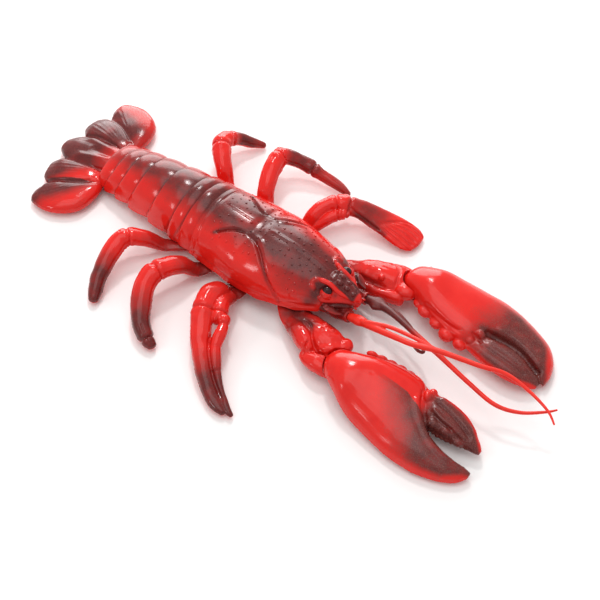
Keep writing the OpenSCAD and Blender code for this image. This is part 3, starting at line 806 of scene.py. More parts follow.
class LOBSTER_OT_carapace(bpy.types.Operator):
    """Carapace with its gill grooves, neck groove, lip and pimples"""
    bl_idname = "lobster.carapace"
    bl_label = "Carapace"

    def execute(self, context):
        wall = sizes().shell_wall / MM
        rows = spline(CARAPACE, 26)
        t = np.linspace(0, 1, 180)
        few = np.linspace(0, 1, 30)
        outer, inner = [], []
        for y, half, rim, rise in rows:
            # the lower edge is cut a little wavy above each leg
            wave = 0.5 * math.sin(y / 3.1) + 0.35 * math.sin(y / 1.7 + 1)
            x, z = dome_point(half, rim, rise, t)
            low = np.exp(-(z - rim) / 2.2)
            x = x + np.sign(x) * 0.7 * low
            z = z + wave * low * 0.8
            outer.append(np.stack([x, np.full_like(x, y), z], -1))
            x, z = dome_point(half - wall, rim, rise - wall - INNER_ROOM["carapace"], few)
            z = z + wave * 0.8 * np.exp(-(z - rim) / 2.2)
            inner.append(np.stack([x, np.full_like(x, y), z], -1))
        skin = Skin(shell_solid("carapace", np.array(outer), np.array(inner)))
        outside = np.arange(len(skin.at)) < len(rows) * len(t)
        self.carve(skin, outside)
        self.spray(skin, outside)
        _, y, z = skin.at.T
        zone = fade(z, 20, 25) * outside * fade(y, -31, -29) * fade(-y, -38, -36)
        bare = skin.finished("carapace_bare")
        store(bare, "pimple_zone", zone)
        bare.shade_smooth()
        bare.set_sharp_from_angle(angle=math.radians(SHARP))
        mesh = run_tree(stand_in("carapace_bare", bare), tree_of(pimple_tree),
                        gap=sizes().pimple_gap, radius=sizes().pimple_radius, height=0.75,
                        seed=11, material=finish_of("shell"))
        mesh.name = "carapace"
        carry_paint(mesh, skin)
        settle("carapace", mesh, "trunk", "shell_plastic", "shell", "carapace_shell")
        return {"FINISHED"}

    def carve(self, skin, outside):
        """Cuts the grooves, raises the ridges and hollows the orbits."""
        # the two ends stay plain, so that the neighbours fit
        y = skin.at[:, 1]
        free = outside * fade(y, -37, -33) * fade(-y, -44, -42.5)
        depth = sizes().groove_depth / MM
        for side in (LEFT, RIGHT):
            skin.score(gill_line(side), 0.95, depth, flat=False, face=free, ends=0.04,
                       smooth=0)
            above = mirrored([(9.4, 24, 30), (6.8, 16, 30.6), (8.2, 7.6, 30.6),
                              (11.6, 2, 29.6), (15.6, -3.4, 26.6), (18.8, -9, 22)], side)
            skin.score(above, 1.4, -0.55, flat=False, face=free, ends=0.4)
            # gill chamber swells below its groove
            cheek = mirrored([(20, 26, 20), (21.6, 14, 19), (22.4, 4, 17)], side)
            skin.score(cheek, 7, -0.9, flat=False, face=free, ends=0)
            # crease above the lip
            hem = [(side * (half - 0.2), y, rim + 3.2) for y, half, rim, _ in CARAPACE]
            skin.score(hem, 1.1, 0.35, flat=False, face=free, ends=0)
            # cheek below the eye
            skin.score(mirrored([(15.6, -33, 21.5), (17.2, -27, 21), (18.6, -20, 19.4)], side),
                       1.6, -0.6, flat=False, face=free)
            # orbit: a hollow for the eye under a raised brow
            d = np.linalg.norm((skin.at - (side * 9.8, -37, 24.4)) / (1, 1.3, 1), axis=1)
            inward = np.array((-0.2 * side, 0.5, -0.85))
            skin.at += np.exp(-(d / 3.1) ** 2)[:, None] * 2.6 * inward
            skin.score(mirrored(CARAPACE_BROW, side), 1.1, -1.0, flat=False, face=outside,
                       ends=0.1)
        # neck groove over the back, and the keel in front of it
        neck = [(-12.4, 8.6, 30), (-8, 10.4, 31), (0, 12, 31.6), (8, 10.4, 31), (12.4, 8.6, 30)]
        skin.score(neck, 1.7, 0.45, flat=False, face=free, ends=0.1)
        skin.score([(0, 8, 31), (0, -8, 31), (0, -22, 29.6), (0, -34, 26.6)], 1.0, -0.55,
                   face=free)
        skin.score([(0, 40, 30), (0, 14, 31)], 0.5, 0.16, face=free)
        # collar at the rear edge
        skin.push(-0.4 * np.exp(-((y - 40.6) / 0.8) ** 2) * outside)
        skin.wrinkle(9, 0.12, face=free)

    def spray(self, skin, outside):
        """Airbrushes the back, and paints shade into the gill grooves, the orbits and the lower
        front corner.
        """
        x, y, z = skin.at.T
        near = np.interp(-y, (-45, -28, -10, 1, 17, 25, 35), (14, 14, 14.6, 17, 18, 17.5, 16))
        far = np.interp(-y, (-45, -26, 2.5, 35), (18, 17, 14, 12))
        edge = np.where(x < 0, near, far)
        over = abs(x) / edge
        skin.dust_and_shade(np.clip(1.6 - over * 1.2, 0, 0.97) * fade(z, 14, 22))
        # a lighter patch stays along the back of the rear half
        skin.paint *= 1 - 0.25 * np.exp(-((x / 5) ** 2 + ((y - 24) / 12) ** 2))
        for side in (LEFT, RIGHT):
            # painted shade darkens each gill groove
            d, along = distance_to(skin.at, gill_line(side))
            skin.dust_and_shade(0.97 * np.exp(-(d / 1.2) ** 2) * np.interp(along, (0, 0.5, 1), (1, 1, 0.5)))
            # painted shade over the lower front corner, in the hollow beside the orbit and in the
            # orbit itself
            skin.dust_line_and_shade(mirrored([(16.8, -34, 19), (17.5, -31, 18)], side), 2.6, 0.75)
            skin.dust_spot_and_shade((side * 13.8, -32.2, 21.8), 3.4, 0.97)
            skin.dust_spot_and_shade((side * 9.8, -36, 23), 2.6, 0.95)
            # the brow itself stays red
            d, along = distance_to(skin.at, spline(mirrored(CARAPACE_BROW, side)))
            skin.paint *= 1 - 0.9 * np.exp(-(d / 1.2) ** 2) * fade(along, 0, 0.25)
        skin.paint *= outside


def carry_paint(mesh, skin):
    """Gives scattered pimples the paint of the shell point nearest to each."""
    tree = KDTree(len(skin.at))
    for i, p in enumerate(skin.at):
        tree.insert(p, i)
    tree.balance()
    store(mesh, "airbrush", [skin.paint[tree.find(p)[1]] for p in points_of(mesh)])


class LOBSTER_OT_abdomen(bpy.types.Operator):
    """Abdomen of seven overlapping rings with hooked side plates"""
    bl_idname = "lobster.abdomen"
    bl_label = "Abdomen"

    def execute(self, context):
        wall = sizes().shell_wall / MM
        inside = wall + INNER_ROOM["abdomen"]
        step = sizes().ring_step / MM
        t = np.linspace(0, 1, 170)
        few = np.linspace(0, 1, 26)
        rings = np.array(RINGS, float)
        edge = abs(np.cos(np.pi * t)) ** 5
        outer, inner = [], []
        count = len(rings) - 1
        for i in range(count):
            a, b = rings[i], rings[i + 1]
            last = i == count - 1
            phases = (0.0, 0.02, 0.05, 0.1, 0.16, 0.24, 0.33, 0.42, 0.52, 0.62, 0.72, 0.81,
                      0.88, 0.93, 0.965, 0.99, 1.0)
            for p in phases:
                y0, half, rim, rise = a + (b - a) * p
                # drop from this ring's rear edge to the next one, rounded at the lip
                puff = math.sin(math.pi * (0.06 + 0.67 * p)) ** 0.62
                lip = 1 if last else math.sqrt(max(0.0, 1 - max(0.0, (p - 0.93) / 0.07) ** 2))
                sink = step * (1 - puff) * (0.7 if i == 0 else 1) + 0.5 * (1 - lip)
                # side plates hook back and end in a point
                hook = HOOK_REACH * edge * (0.35 + 0.65 * p) * PLATE_HOOK[i]
                if last:
                    hook = hook * (1 - 0.9 * p)
                if i == 0:
                    hook = hook * p
                drop = 1.9 * fade(np.array(p), 0.15, 0.9) * (1 - 0.5 * (p > 0.985))
                for grid, at, less, flare in ((outer, t, sink, 0.5), (inner, few, inside, 0)):
                    x, z = dome_point(half - less, rim, rise - less, at)
                    low = np.exp(-(z - rim) / 2.6)
                    z = z - (drop - 1.2) * low * LIP_DROP[i]
                    x = x + np.sign(x) * flare * low * p * LIP_DROP[i]
                    grid.append(np.stack([x, y0 + np.interp(at, t, hook), z], -1))
        outer, inner = np.array(outer), np.array(inner)
        skin = Skin(shell_solid("abdomen", outer, inner))
        outside = np.arange(len(skin.at)) < outer.shape[0] * outer.shape[1]
        # a low boss on each side plate
        for y0, half, rim, _ in rings[1:6]:
            for side in (LEFT, RIGHT):
                skin.swell((side * (half - 1.2), y0 + 4.5, rim + 4.2), 2.6, 0.5)
        skin.wrinkle(7, 0.14, face=outside)
        x, y, z = skin.at.T
        near = np.interp(y, (44, 63, 83, 104, 119), (12.7, 12.5, 10.5, 8.5, 8))
        far = np.interp(y, (44, 83, 119), (17, 15, 12))
        over = abs(x) / np.where(x < 0, near, far)
        strength = np.interp(y, (44, 60, 100, 119), (0.97, 0.93, 0.8, 0.55))
        skin.dust_and_shade(strength * np.clip(1.5 - over * 1.1, 0, 1))
        # painted shade darkens each crease
        for y0, half, _, _ in rings[1:]:
            sweep = y - HOOK_REACH * (abs(x) / half) ** 6 - y0
            skin.dust_and_shade(0.85 * np.exp(-((sweep - 0.3) / 0.6) ** 2) * fade(-over, -3, -0.9))
        skin.paint *= outside
        piece("abdomen", skin, "trunk", "shell_plastic", "shell", "abdomen_shell", sharp=60)
        return {"FINISHED"}


class LOBSTER_OT_belly(bpy.types.Operator):
    """Belly tray with its foot and pivot posts, kept as designed and given its finish"""
    bl_idname = "lobster.belly"
    bl_label = "Belly tray"

    def execute(self, context):
        tray = frame["nodes"]["belly_shell"]
        finish = finish_of("shell")
        if tray.material_slots:
            for slot in tray.material_slots:
                slot.material = finish
        else:
            tray.data.materials.append(finish)
        return {"FINISHED"}


# ---------------------------------------------------------------- tail

TELSON = [(0, 112, 8.8, 9.4, 4.4), (0, 119.6, 9, 9.8, 4.4), (0, 128, 8.2, 10.2, 4.6),
          (0, 139, 6.8, 11, 4.4), (0, 149, 5, 9.8, 3.4), (0, 155.6, 3.6, 5.4, 2)]
INNER_LOBE = [(11.6, 121, 6, 4.4, 3), (14.6, 127, 5.8, 8.6, 4.6), (17.6, 136, 5.2, 11.6, 5),
              (20, 145.6, 4.2, 11, 4.2), (21.2, 151.4, 3.2, 7.4, 2.6)]
OUTER_LOBE = [(16, 120.8, 5, 3.6, 2.8), (24, 122.6, 5, 7, 4.2), (31.6, 127.6, 4.7, 11.2, 4.8),
              (36.8, 136.6, 4.1, 11.6, 4.2), (39, 144.2, 3.4, 8.4, 3.1),
              (39.2, 146.8, 2.9, 5.4, 2.2)]


class LOBSTER_OT_tail(bpy.types.Operator):
    """Tail fan of five puffy lobes with a ridged middle lobe"""
    bl_idname = "lobster.tail"
    bl_label = "Tail fan"

    def execute(self, context):
        low, high = (np.array(c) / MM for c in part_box("tail_fan"))
        parts = [limb(TELSON, 28, square=0.9)]
        flash = []
        for side in (LEFT, RIGHT):
            parts += [on_side(side, limb(INNER_LOBE, 24, square=0.85)),
                      on_side(side, limb(OUTER_LOBE, 24, square=0.85)),
                      on_side(side, ball((15.6, 121.4, 7.4), 2.3, (1, 1.3, 0.9))),
                      on_side(side, ball((19.6, 121.6, 6.2), 2.1, (1, 1.2, 0.9)))]
            for rows in (INNER_LOBE, OUTER_LOBE):
                thin = [(x, y + 0.2, z - 0.2, hw + 0.35, 0.45) for x, y, z, hw, _ in rows[1:]]
                flash.append(on_side(side, limb(thin, 24)))
        flash.append(limb([(x, y + 0.2, z - 0.3, hw + 0.35, 0.45)
                           for x, y, z, hw, _ in TELSON[2:]], 24))
        skin = fuse("tail", parts + flash, rounds=3)
        # creases between the lobes, cut where one lies over the next
        for side in (LEFT, RIGHT):
            for fold in ([(9.6, 121, 9), (10.8, 130, 8), (11.4, 140, 6), (10.6, 150, 4)],
                         [(18.6, 122.6, 7), (22.6, 128, 6), (26.6, 136, 5), (29.6, 146, 3.4),
                          (30.6, 151, 3)]):
                skin.score(mirrored(fold, side), 0.9, 0.9, smooth=4, ends=0.05)
            # two ridges run back over the middle lobe
            ridge = mirrored([(3.4, 120, 12), (4.6, 128, 11.6), (6.6, 138, 9.6), (7.6, 147, 7)],
                             side)
            skin.score(ridge, 2.0, -0.9, smooth=4, ends=0.3)
        skin.score([(0, 120, 12), (0, 129, 11), (0, 139, 9.4)], 2.0, 1.0, smooth=4, ends=0.3)
        # fine ribs fan out from each root
        x, y, z = skin.at.T
        top = fade(skin.out()[:, 2], 0.2, 0.6)
        fans = ((0, 100, 5.5), (8, 112, 4.5), (12, 114, 4.2))
        which = np.select([abs(x) < 10.6, abs(x) < 18.6 + (y - 122) * 0.42], [0, 1], 2)
        ribs = np.zeros(len(x))
        for i, (cx, cy, pitch) in enumerate(fans):
            bearing = np.degrees(np.arctan2(abs(x) - cx, y - cy))
            wave = np.sin(bearing * 2 * np.pi / pitch) * 0.025
            ribs += np.where(which == i, wave, 0) * fade(y, 124, 134)
        skin.push(ribs * top)
        skin.wrinkle(9, 0.25, 2.0)
        # paint: the rear of every lobe, thin along the edges
        x, y, z = skin.at.T
        mid = np.clip((y + 0.35 * abs(x) - 117) / 17, 0, 1)
        # near lobes are dark on the side away from the spray's edge
        across = y + 0.8 * x - np.select([which == 1, which == 2], [122, 105], 0)
        near_red = np.where((x < 0) & (which > 0), 0.12 + 0.88 * fade(across, -9, 5), 1)
        far_red = 1 - 0.75 * fade(x - 0.3 * (y - 130), 28, 42)
        skin.dust_and_shade(0.97 * mid * near_red * far_red * fade(skin.out()[:, 2], -0.3, 0.2))
        # the fan lies turned about the end of the abdomen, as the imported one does
        skin.at = (skin.at - (0, 116, 0)) @ turn_about_z(6).T + (0, 116, 0)
        x0, x1 = skin.at[:, 0].min(), skin.at[:, 0].max()
        skin.at[:, 0] = (skin.at[:, 0] - x0) / (x1 - x0) * (high[0] - low[0]) + low[0]
        skin.at[:, 1] = np.minimum(skin.at[:, 1], high[1])
        skin.at[:, 2] = np.maximum(skin.at[:, 2], low[2] + 0.1)
        piece("tail", skin, "trunk", "tail_plastic", "shell", "tail_fan")
        return {"FINISHED"}


# ---------------------------------------------------------------- head

HEAD_BLOCK = [(0, -31, 17, 12, 5.8), (0, -36.2, 17, 13.6, 7), (0, -39.4, 16.4, 12, 7),
              (0, -44, 15.6, 8.8, 5.4), (0, -48, 15, 5.6, 3.8), (0, -50.5, 14.6, 2.4, 2)]
SLOT = [(13.4, -36, 18), (12.4, -39, 17), (9.6, -43, 17.2), (6.4, -47, 16.6), (4.4, -49.6, 15.6)]
HORN = [(0, -33.6, 24.4, 5.8, 2.2), (0, -37, 24, 6, 2.8), (0, -41, 22.9, 4.8, 2.8),
        (0, -46, 20.9, 3.5, 2.6), (0, -50.2, 18.8, 2.5, 2.2), (0, -51.6, 18, 1.6, 1.5)]
# Where each antenna leaves the head, and the way it points
MOUTH = (7.4, -51.4, 12)
MOUTH_WAY = {"left": (-1.2, -30, 7.4), "right": (2.6, -32.6, 12)}


def antenna_seat(word):
    """Mouth of an antenna's socket as on the left side, and the direction out of it."""
    tip, go = np.array(MOUTH), np.array(MOUTH_WAY[word], float)
    return tip, go / np.linalg.norm(go)


class LOBSTER_OT_head(bpy.types.Operator):
    """Head with its horn, brows, eyes, mouth parts and antenna sockets"""
    bl_idname = "lobster.head"
    bl_label = "Head"

    def execute(self, context):
        parts = [limb(HEAD_BLOCK, 32), limb(HORN, 20)]
        bores = []
        for word, side in SIDES.items():
            tip, go = antenna_seat(word)
            root = tip - go * 9
            brow = [(*at, size, size) for at, size in zip(HEAD_BROW, (1.2, 1.35, 1.3, 1.1, 0.9))]
            drawn = [
                # brow from the cheek to the end of the horn, the rim below the eye, its stalk
                limb(brow, 12),
                limb([(13, -35.2, 21, 1.1, 1.1), (12.2, -37.6, 19.2, 1.2, 1.1),
                      (9, -40.6, 18.4, 1.2, 1.1), (5, -44, 18.6, 1.0, 1.0)], 12),
                ball((8.8, -36.8, 20.8), 3.5),
                # peduncle that carries the antenna, with its two spines and its mouth
                limb([(10.6, -38, 13.6, 3.4, 3.2), (*(root + (0.6, 0, 0.2)), 3.6, 3.3),
                      (*(tip - go * 4), 3.7, 3.4), (*(tip - go * 0.9), 3.5, 3.2)], 18, blunt=0.25),
                limb([(*(tip - go * 5 + (0.4, 0, 3.1)), 1, 0.8),
                      (*(tip - go * 0.4 + (-0.4, 0, 3.0)), 0.35, 0.35)], 8),
                limb([(*(tip - go * 5 + (3.2, 0, 0.2)), 0.9, 0.9),
                      (*(tip - go * 0.2 + (2.9, 0, 0.2)), 0.35, 0.35)], 8),
                peg(tip - go * 1.6, tip - go * 0.2, 3.6, 3.4),
                # antennal scale and the small feeler beside it
                limb([(11.6, -36.6, 17.4, 1.6, 1.2), (12.6, -40, 17.2, 2.6, 0.7),
                      (12, -44.4, 15.6, 2, 0.6), (10.6, -47.6, 14.6, 0.7, 0.5)], 12),
                limb([(3, -44, 15.6, 1.3, 1.2), (3.4, -49.4, 15.2, 1.0, 0.9),
                      (3.8, -52.4, 15.6, 0.5, 0.5)], 10),
                # rim of the cavity at the corner of the mouth, and the jaws under the head
                limb([(14, -35.4, 15.4, 1.1, 2.2), (13.6, -38.2, 14.4, 1.3, 2.2),
                      (11.6, -40.8, 13.6, 1.3, 1.8)], 12),
                limb([(4, -31, 10.6, 2.2, 1.9), (4.4, -38, 9.4, 2.5, 2.1),
                      (3.6, -44, 9.8, 1.9, 1.7), (2.4, -48.6, 11.6, 1, 1)], 12),
                limb([(9, -33, 11.4, 2, 1.6), (8.6, -38.4, 10, 1.8, 1.4),
                      (7.4, -42.4, 10.2, 0.9, 0.8)], 10),
            ]
            # knobs in two rows along the horn, the rows a little out of step
            for k, (y, z, r) in enumerate(((-35.6, 26.6, 1.3), (-39.6, 26.4, 1.6),
                                           (-43.8, 24.7, 1.5), (-47.6, 22.4, 1.3))):
                drawn.append(ball((2.3 - 0.35 * k, y + 0.6 * side, z - 0.5), r, (1, 1.2, 1)))
            parts += [on_side(side, part) for part in drawn]
            # socket that the antenna's plug sits in
            bores.append(on_side(side, peg(tip - go * 6.1, tip + go * 4, 2.22, 2.22)))
        skin = fuse("head", parts, 0.27, 3, bores)
        for side in (LEFT, RIGHT):
            # socket round the eye and the slot beneath it
            skin.swell((side * 6.2, -40.6, 20.6), 1.3, -0.8)
            skin.score(mirrored(SLOT, side), 0.8, 1.2, flat=False, smooth=4)
            skin.swell((side * 12.9, -38.9, 16.4), 1.7, -1.5)
        skin.score([(0, -36, 27), (0, -42, 25.6), (0, -49, 21)], 0.8, 0.35, smooth=3)
        skin.wrinkle(4, 0.2, 5.0)
        self.spray(skin)
        piece("head", skin, "trunk", "shell_plastic", "limb", "head_moulding")
        for word, side in SIDES.items():
            low, high = (np.array(c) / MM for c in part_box("eye_" + word))
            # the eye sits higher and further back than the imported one, in its orbit
            middle = (low + high) / 2 + (-1.3 * side, 1.5, 2.1)
            eye = fuse("eye_" + word, [ball(middle, 2.6, (1.0, 1.1, 0.95), 20 * side),
                                       ball(middle - (0, 0, 1.6), 2.2)], 0.2, 4)
            piece("eye_gloss_" + word, eye, "trunk", "eye_plastic", "eye", "eye_" + word)
        return {"FINISHED"}

    def spray(self, skin):
        """Airbrushes the horn, the mouth and the antennae's sockets, and paints shade into the
        hollows round the eyes, the slot and the gap by the horn.
        """
        x, y, z = skin.at.T
        # the horn and the sockets are dark, the brows and the end of the horn stay red
        horn = np.interp(-y, (31, 38, 45, 50), (24, 23, 21.2, 18.6))
        skin.dust_and_shade(0.97 * fade(z - horn, 0, 1.2) * fade(-abs(x), -4.8, -3.9) * fade(y, -50.8, -49.4))
        for side in (LEFT, RIGHT):
            # painted shade in the hollow beside the orbit, the cavity at the corner of the mouth
            # and the socket round the eye; the spots by the slot are partly painted shade, partly
            # the peduncle's dark paint
            for at, r, much in (((13.6, -35.4, 23.4), 2.4, 0.9), ((12.9, -38.9, 16.4), 2.3, 0.95),
                                ((7, -40.6, 20.4), 1.7, 0.85), ((9.4, -42.6, 15.2), 2.3, 0.75),
                                ((6, -45, 16.6), 1.6, 0.8), ((10.4, -45.8, 13.6), 1.8, 0.5)):
                skin.dust_spot_and_shade((side * at[0], at[1], at[2]), r, much)
            # painted shade along the slot beneath the eye
            skin.dust_line_and_shade(mirrored(SLOT, side), 1.7)
            # antenna root and its scale are misted over
            skin.dust_line_and_shade(mirrored([(12.4, -38, 16), (11, -43, 15), (9, -47, 14)], side),
                           5, 0.97, fade(-z, -18.6, -17))
            # painted shade in the gap between brow and horn, and a dark ring at the antenna's
            # socket
            skin.dust_line_and_shade(mirrored([(4.2, -36, 26), (4.1, -41, 24), (2.9, -46, 21.6)], side),
                           0.7, 0.8)
            skin.dust_and_shade(0.9 * fade(-skin.distance(np.array(MOUTH) * (side, 1, 1)), -2.9, -2.3))
        skin.dust_and_shade(0.5 * fade(-z, -13, -9))


# ---------------------------------------------------------------- antennae

# Whips: x, y, z, radius from the plug to the tip
RIGHT_WHIP = [(7.6, -54, 13, 2.3), (8.4, -61, 15.6, 2.1), (9.6, -70, 19, 1.75),
              (10, -80, 22, 1.6), (9.2, -92, 24.2, 1.5), (4.8, -105, 24.6, 1.4),
              (-0.5, -125, 24, 1.2), (-5.4, -137, 22.4, 1.1), (-5.6, -150, 20, 0.9),
              (-2.4, -163.4, 18.6, 0.7), (2, -170.4, 17.4, 0.5)]
LEFT_WHIP = [(7.4, -54, 12.8, 2.2), (6.8, -61, 14.4, 2.2), (4.4, -71, 17, 1.7),
             (-0.2, -88, 18.8, 1.45), (-3, -105, 17.6, 1.3), (-5.8, -124, 15, 1.2),
             (-7.2, -140, 13, 1.1), (-3.6, -152, 13, 0.95), (3.2, -162, 14.6, 0.75),
             (6.8, -166.8, 16.8, 0.5)]
RIGHT_STRAND = [(8.9, -60, 16.2, 1.5), (8, -67, 19.6, 1.15), (6.6, -76, 22.4, 1.05),
                (6.2, -88, 24.6, 1.0), (5.8, -98, 25.2, 0.9), (4.4, -108, 25, 0.6)]
LEFT_STRAND = [(6.9, -60, 13.8, 1.3), (8, -69, 14.2, 1.2), (5.6, -79, 13.8, 1.1),
               (1.6, -88, 13, 1.0), (-2.4, -94, 12.8, 0.9), (-4.6, -92, 14, 0.8),
               (-3.4, -86, 15.4, 0.6)]
# Widest part of each bulb: distance from the mouth, half width and half height
BULB = {"left": ((6.4, 4.3, 2.8), (9.8, 3.4, 2.2)), "right": ((6.4, 3.1, 2.6), (9.6, 2.6, 2.1))}


class LOBSTER_OT_antennae(bpy.types.Operator):
    """Two soft antennae, each with a plug, a bulb, a long whip and a short second strand"""
    bl_idname = "lobster.antennae"
    bl_label = "Antennae"

    def execute(self, context):
        table = {"right": (RIGHT_WHIP, RIGHT_STRAND, "whip_bright"),
                 "left": (LEFT_WHIP, LEFT_STRAND, "whip_dark")}
        for word, (whip, strand, slot_name) in table.items():
            side = SIDES[word]
            tip, go = antenna_seat(word)
            bulb = [(*(tip + go * far), wide, high) for far, wide, high in (
                (0.2, 2.3, 2.3), (3, 2.7, 2.5), *BULB[word], (13, 1.6, 1.4))]
            parts = [whip_part(whip, side), whip_part(strand, side),
                     on_side(side, limb(bulb, 18)),
                     on_side(side, peg(tip - go * 5.6, tip + go * 2, 2.2, 2.2))]
            skin = fuse("antenna_" + word, parts, 0.26, 3)
            # moulding crease between the two strands
            skin.score(mirrored([(*(tip + go * 5 + (0, 0, 2.4)),), (*(tip + go * 13 + (0, 0, 1)),)],
                                side), 0.35, 0.3, flat=False, smooth=0)
            d, along = distance_to(skin.at, mirrored(spline(whip, 6), side))
            if word == "left":
                skin.dust_and_shade(np.interp(along, (0, 0.24, 0.34, 1), (1, 1, 0.12, 0.1)))
                off = skin.distance((-2 * side, -90, 13.4))
                skin.dust_and_shade(0.9 * fade(-off, -12, -5) * fade(-skin.at[:, 2], -16.6, -15.4))
            else:
                skin.dust_and_shade(0.12 * np.exp(-((along - 0.02) / 0.02) ** 2))
            piece("antenna_whip_" + word, skin, "trunk", slot_name, "whip", "antenna_" + word)
        return {"FINISHED"}


# ---------------------------------------------------------------- arms

class LOBSTER_OT_arms(bpy.types.Operator):
    """Two arms of swollen segments, with the disc and pin that carry the claws"""
    bl_idname = "lobster.arms"
    bl_label = "Arms"

    def execute(self, context):
        for word, side in SIDES.items():
            hub_at, wrist_at = pivot("shoulder_" + word), pivot("wrist_" + word)
            # both as on the left side, which the shapes are drawn for
            hub, wrist = (at * (side, 1, 1) for at in (hub_at, wrist_at))
            root = (*hub[:2], 7.2, 5.2, 2.4)
            if word == "right":
                parts = [
                    limb([root, (21, -21.5, 7.2, 5.6, 2.5),
                          (25.6, -29, 7.6, 5.6, 3), (29.6, -36, 9.4, 5.4, 5),
                          (33, -42.4, 9.8, 5, 5.2), (35, -46, 9.4, 3.6, 3.8)], 20),
                    limb([(20.4, -28, 7.8, 5.4, 3), (22.4, -36, 9, 6, 5),
                          (24, -43, 9.6, 7.2, 6), (25.4, -50.4, 9.8, 8, 6.2),
                          (27, -56, 9.4, 7.6, 5.4), (30, -60, 8.6, 6, 4)], 22),
                    limb([(37, -45.6, 6.8, 4, 3.4), (38.6, -50.4, 7.2, 4.8, 4.2),
                          (39, -55.6, 7.4, 4.8, 4.4), (38, -61, 6.6, 4.8, 3), (36, -66, 6, 4, 2)],
                         18),
                    limb([(36.4, -51, 8.6, 1.8, 2.6), (36, -56.4, 9.4, 1.8, 2.8),
                          (34.4, -60.6, 9, 1.6, 2)], 12),
                    limb([(31, -42, 8, 3.4, 3.4), (33.6, -49, 7.6, 3.6, 3.6)], 12),
                    ball((29.4, -55.6, 12), 3.7, (1.7, 0.95, 0.8), 50),
                    ball((23.4, -60.2, 10.8), 4.3, (1.1, 1, 0.85)),
                ]
                bumps = [(20.7, -45.7, 14.6, 1.25), (24.8, -46.7, 15.2, 1.25),
                         (22.1, -51.1, 15, 1.25)]
            else:
                parts = [
                    limb([root, (18.6, -23, 7.2, 5, 2.5),
                          (21.4, -31, 7.6, 5.8, 3.1), (24.4, -40, 9.4, 7.4, 5.6),
                          (27, -50, 9.8, 8.8, 6.2), (30, -58, 9.4, 8.8, 5.2),
                          (32.5, -62, 8.8, 6.4, 3.6)], 24),
                    limb([(15.4, -36.6, 8.2, 2.4, 3), (15.6, -46, 8.4, 2.6, 3.6),
                          (17.4, -56, 8.6, 2.8, 3.8), (19.6, -63, 8.8, 3.4, 4)], 14),
                    ball((24.4, -64, 11.2), 4.8, (1.1, 1.25, 0.85), 30),
                    ball((31.4, -57.4, 10.4), 5.2, (1.3, 0.9, 0.75), -35),
                    limb([(33, -44, 7.6, 2.6, 3), (37.4, -52, 7, 2.8, 3),
                          (39.4, -60, 6.4, 2.8, 2.4)], 12),
                ]
                bumps = [(21.3, -50.1, 15.2, 1.7), (29.6, -59.2, 13.6, 1.3)]
            parts += [ball(at, radius) for *at, radius in bumps]
            parts += [drum(hub, 5.6, 4.2, 9.8), drum(wrist, 8, 4, 8)]
            parts = [on_side(side, p) for p in parts]
            # bore for the shoulder post, and room for the claw over its disc
            bores = [drum(hub_at, 3.06, 2, 12), drum(wrist_at, 9.75, 8, 26)]
            skin = fuse("arm_" + word, parts, 0.36, 4, bores)
            if word == "right":
                skin.score(mirrored([(23.4, -33, 9), (25.6, -40, 13), (30.6, -44.4, 13),
                                     (34.2, -50, 12), (34.4, -56, 12)], side), 0.7, 1.0)
                skin.score(mirrored([(33.8, -45, 12), (37.4, -45, 9), (41, -46.4, 6)], side),
                           0.5, 0.7)
                skin.score(mirrored([(34.4, -56, 12), (31, -59, 12), (27, -62, 12)], side),
                           0.6, 0.6)
            else:
                skin.score(mirrored([(32, -47, 13), (33.4, -52, 13), (30, -55.6, 14),
                                     (26, -57, 14), (22, -58.6, 13)], side), 0.7, 0.6)
                skin.score(mirrored([(17.6, -37, 12), (18, -46, 12), (19.6, -55, 12)], side),
                           0.9, 0.7)
            skin.wrinkle(4, 0.35, 1.0 + side)
            # painted shade lies in the folds above the root, under the carapace's edge, together
            # with some overspray of the body's paint
            x, y, z = skin.at.T
            root = fade(y, -43, -29)
            if word == "right":
                skin.dust_line_and_shade(mirrored([(21, -27, 10), (24.4, -35, 12), (25.4, -40, 13)], side),
                               3.8, 0.98)
                skin.dust_line_and_shade(mirrored([(16, -34, 12), (17, -42, 13), (18, -49, 13)], side),
                               3, 0.9)
                skin.dust_and_shade(0.6 * root * fade(z, 6, 10))
            else:
                skin.dust_line_and_shade(mirrored([(16, -34, 10), (16, -42, 12), (17.6, -48, 11)], side),
                               4, 0.65)
                skin.dust_and_shade(0.4 * root * fade(z, 6, 10))
            # pin that the claw turns on, with its head
            pin = to_mesh("pin", [on_side(side, drum(wrist, 2.5, 7.5, 12.9)),
                                  on_side(side, drum(wrist, 3.0, 12.9, 13.7))])
            skin = with_extra(skin, pin)
            piece("arm_skin_" + word, skin, "arm_" + word, "claw_plastic", "limb", "arm_" + word)
        return {"FINISHED"}


def with_extra(skin, mesh):
    """The skin joined with an unpainted mesh, as one skin."""
    skin.out()
    paint = np.concatenate([skin.paint, np.zeros(len(mesh.vertices))])
    bm = bmesh.new()
    bm.from_mesh(skin.mesh)
    bm.from_mesh(mesh)
    bm.to_mesh(skin.mesh)
    bm.free()
    bpy.data.meshes.remove(mesh)
    joined_skin = Skin(skin.mesh)
    joined_skin.paint = paint
    return joined_skin


# ---------------------------------------------------------------- claws

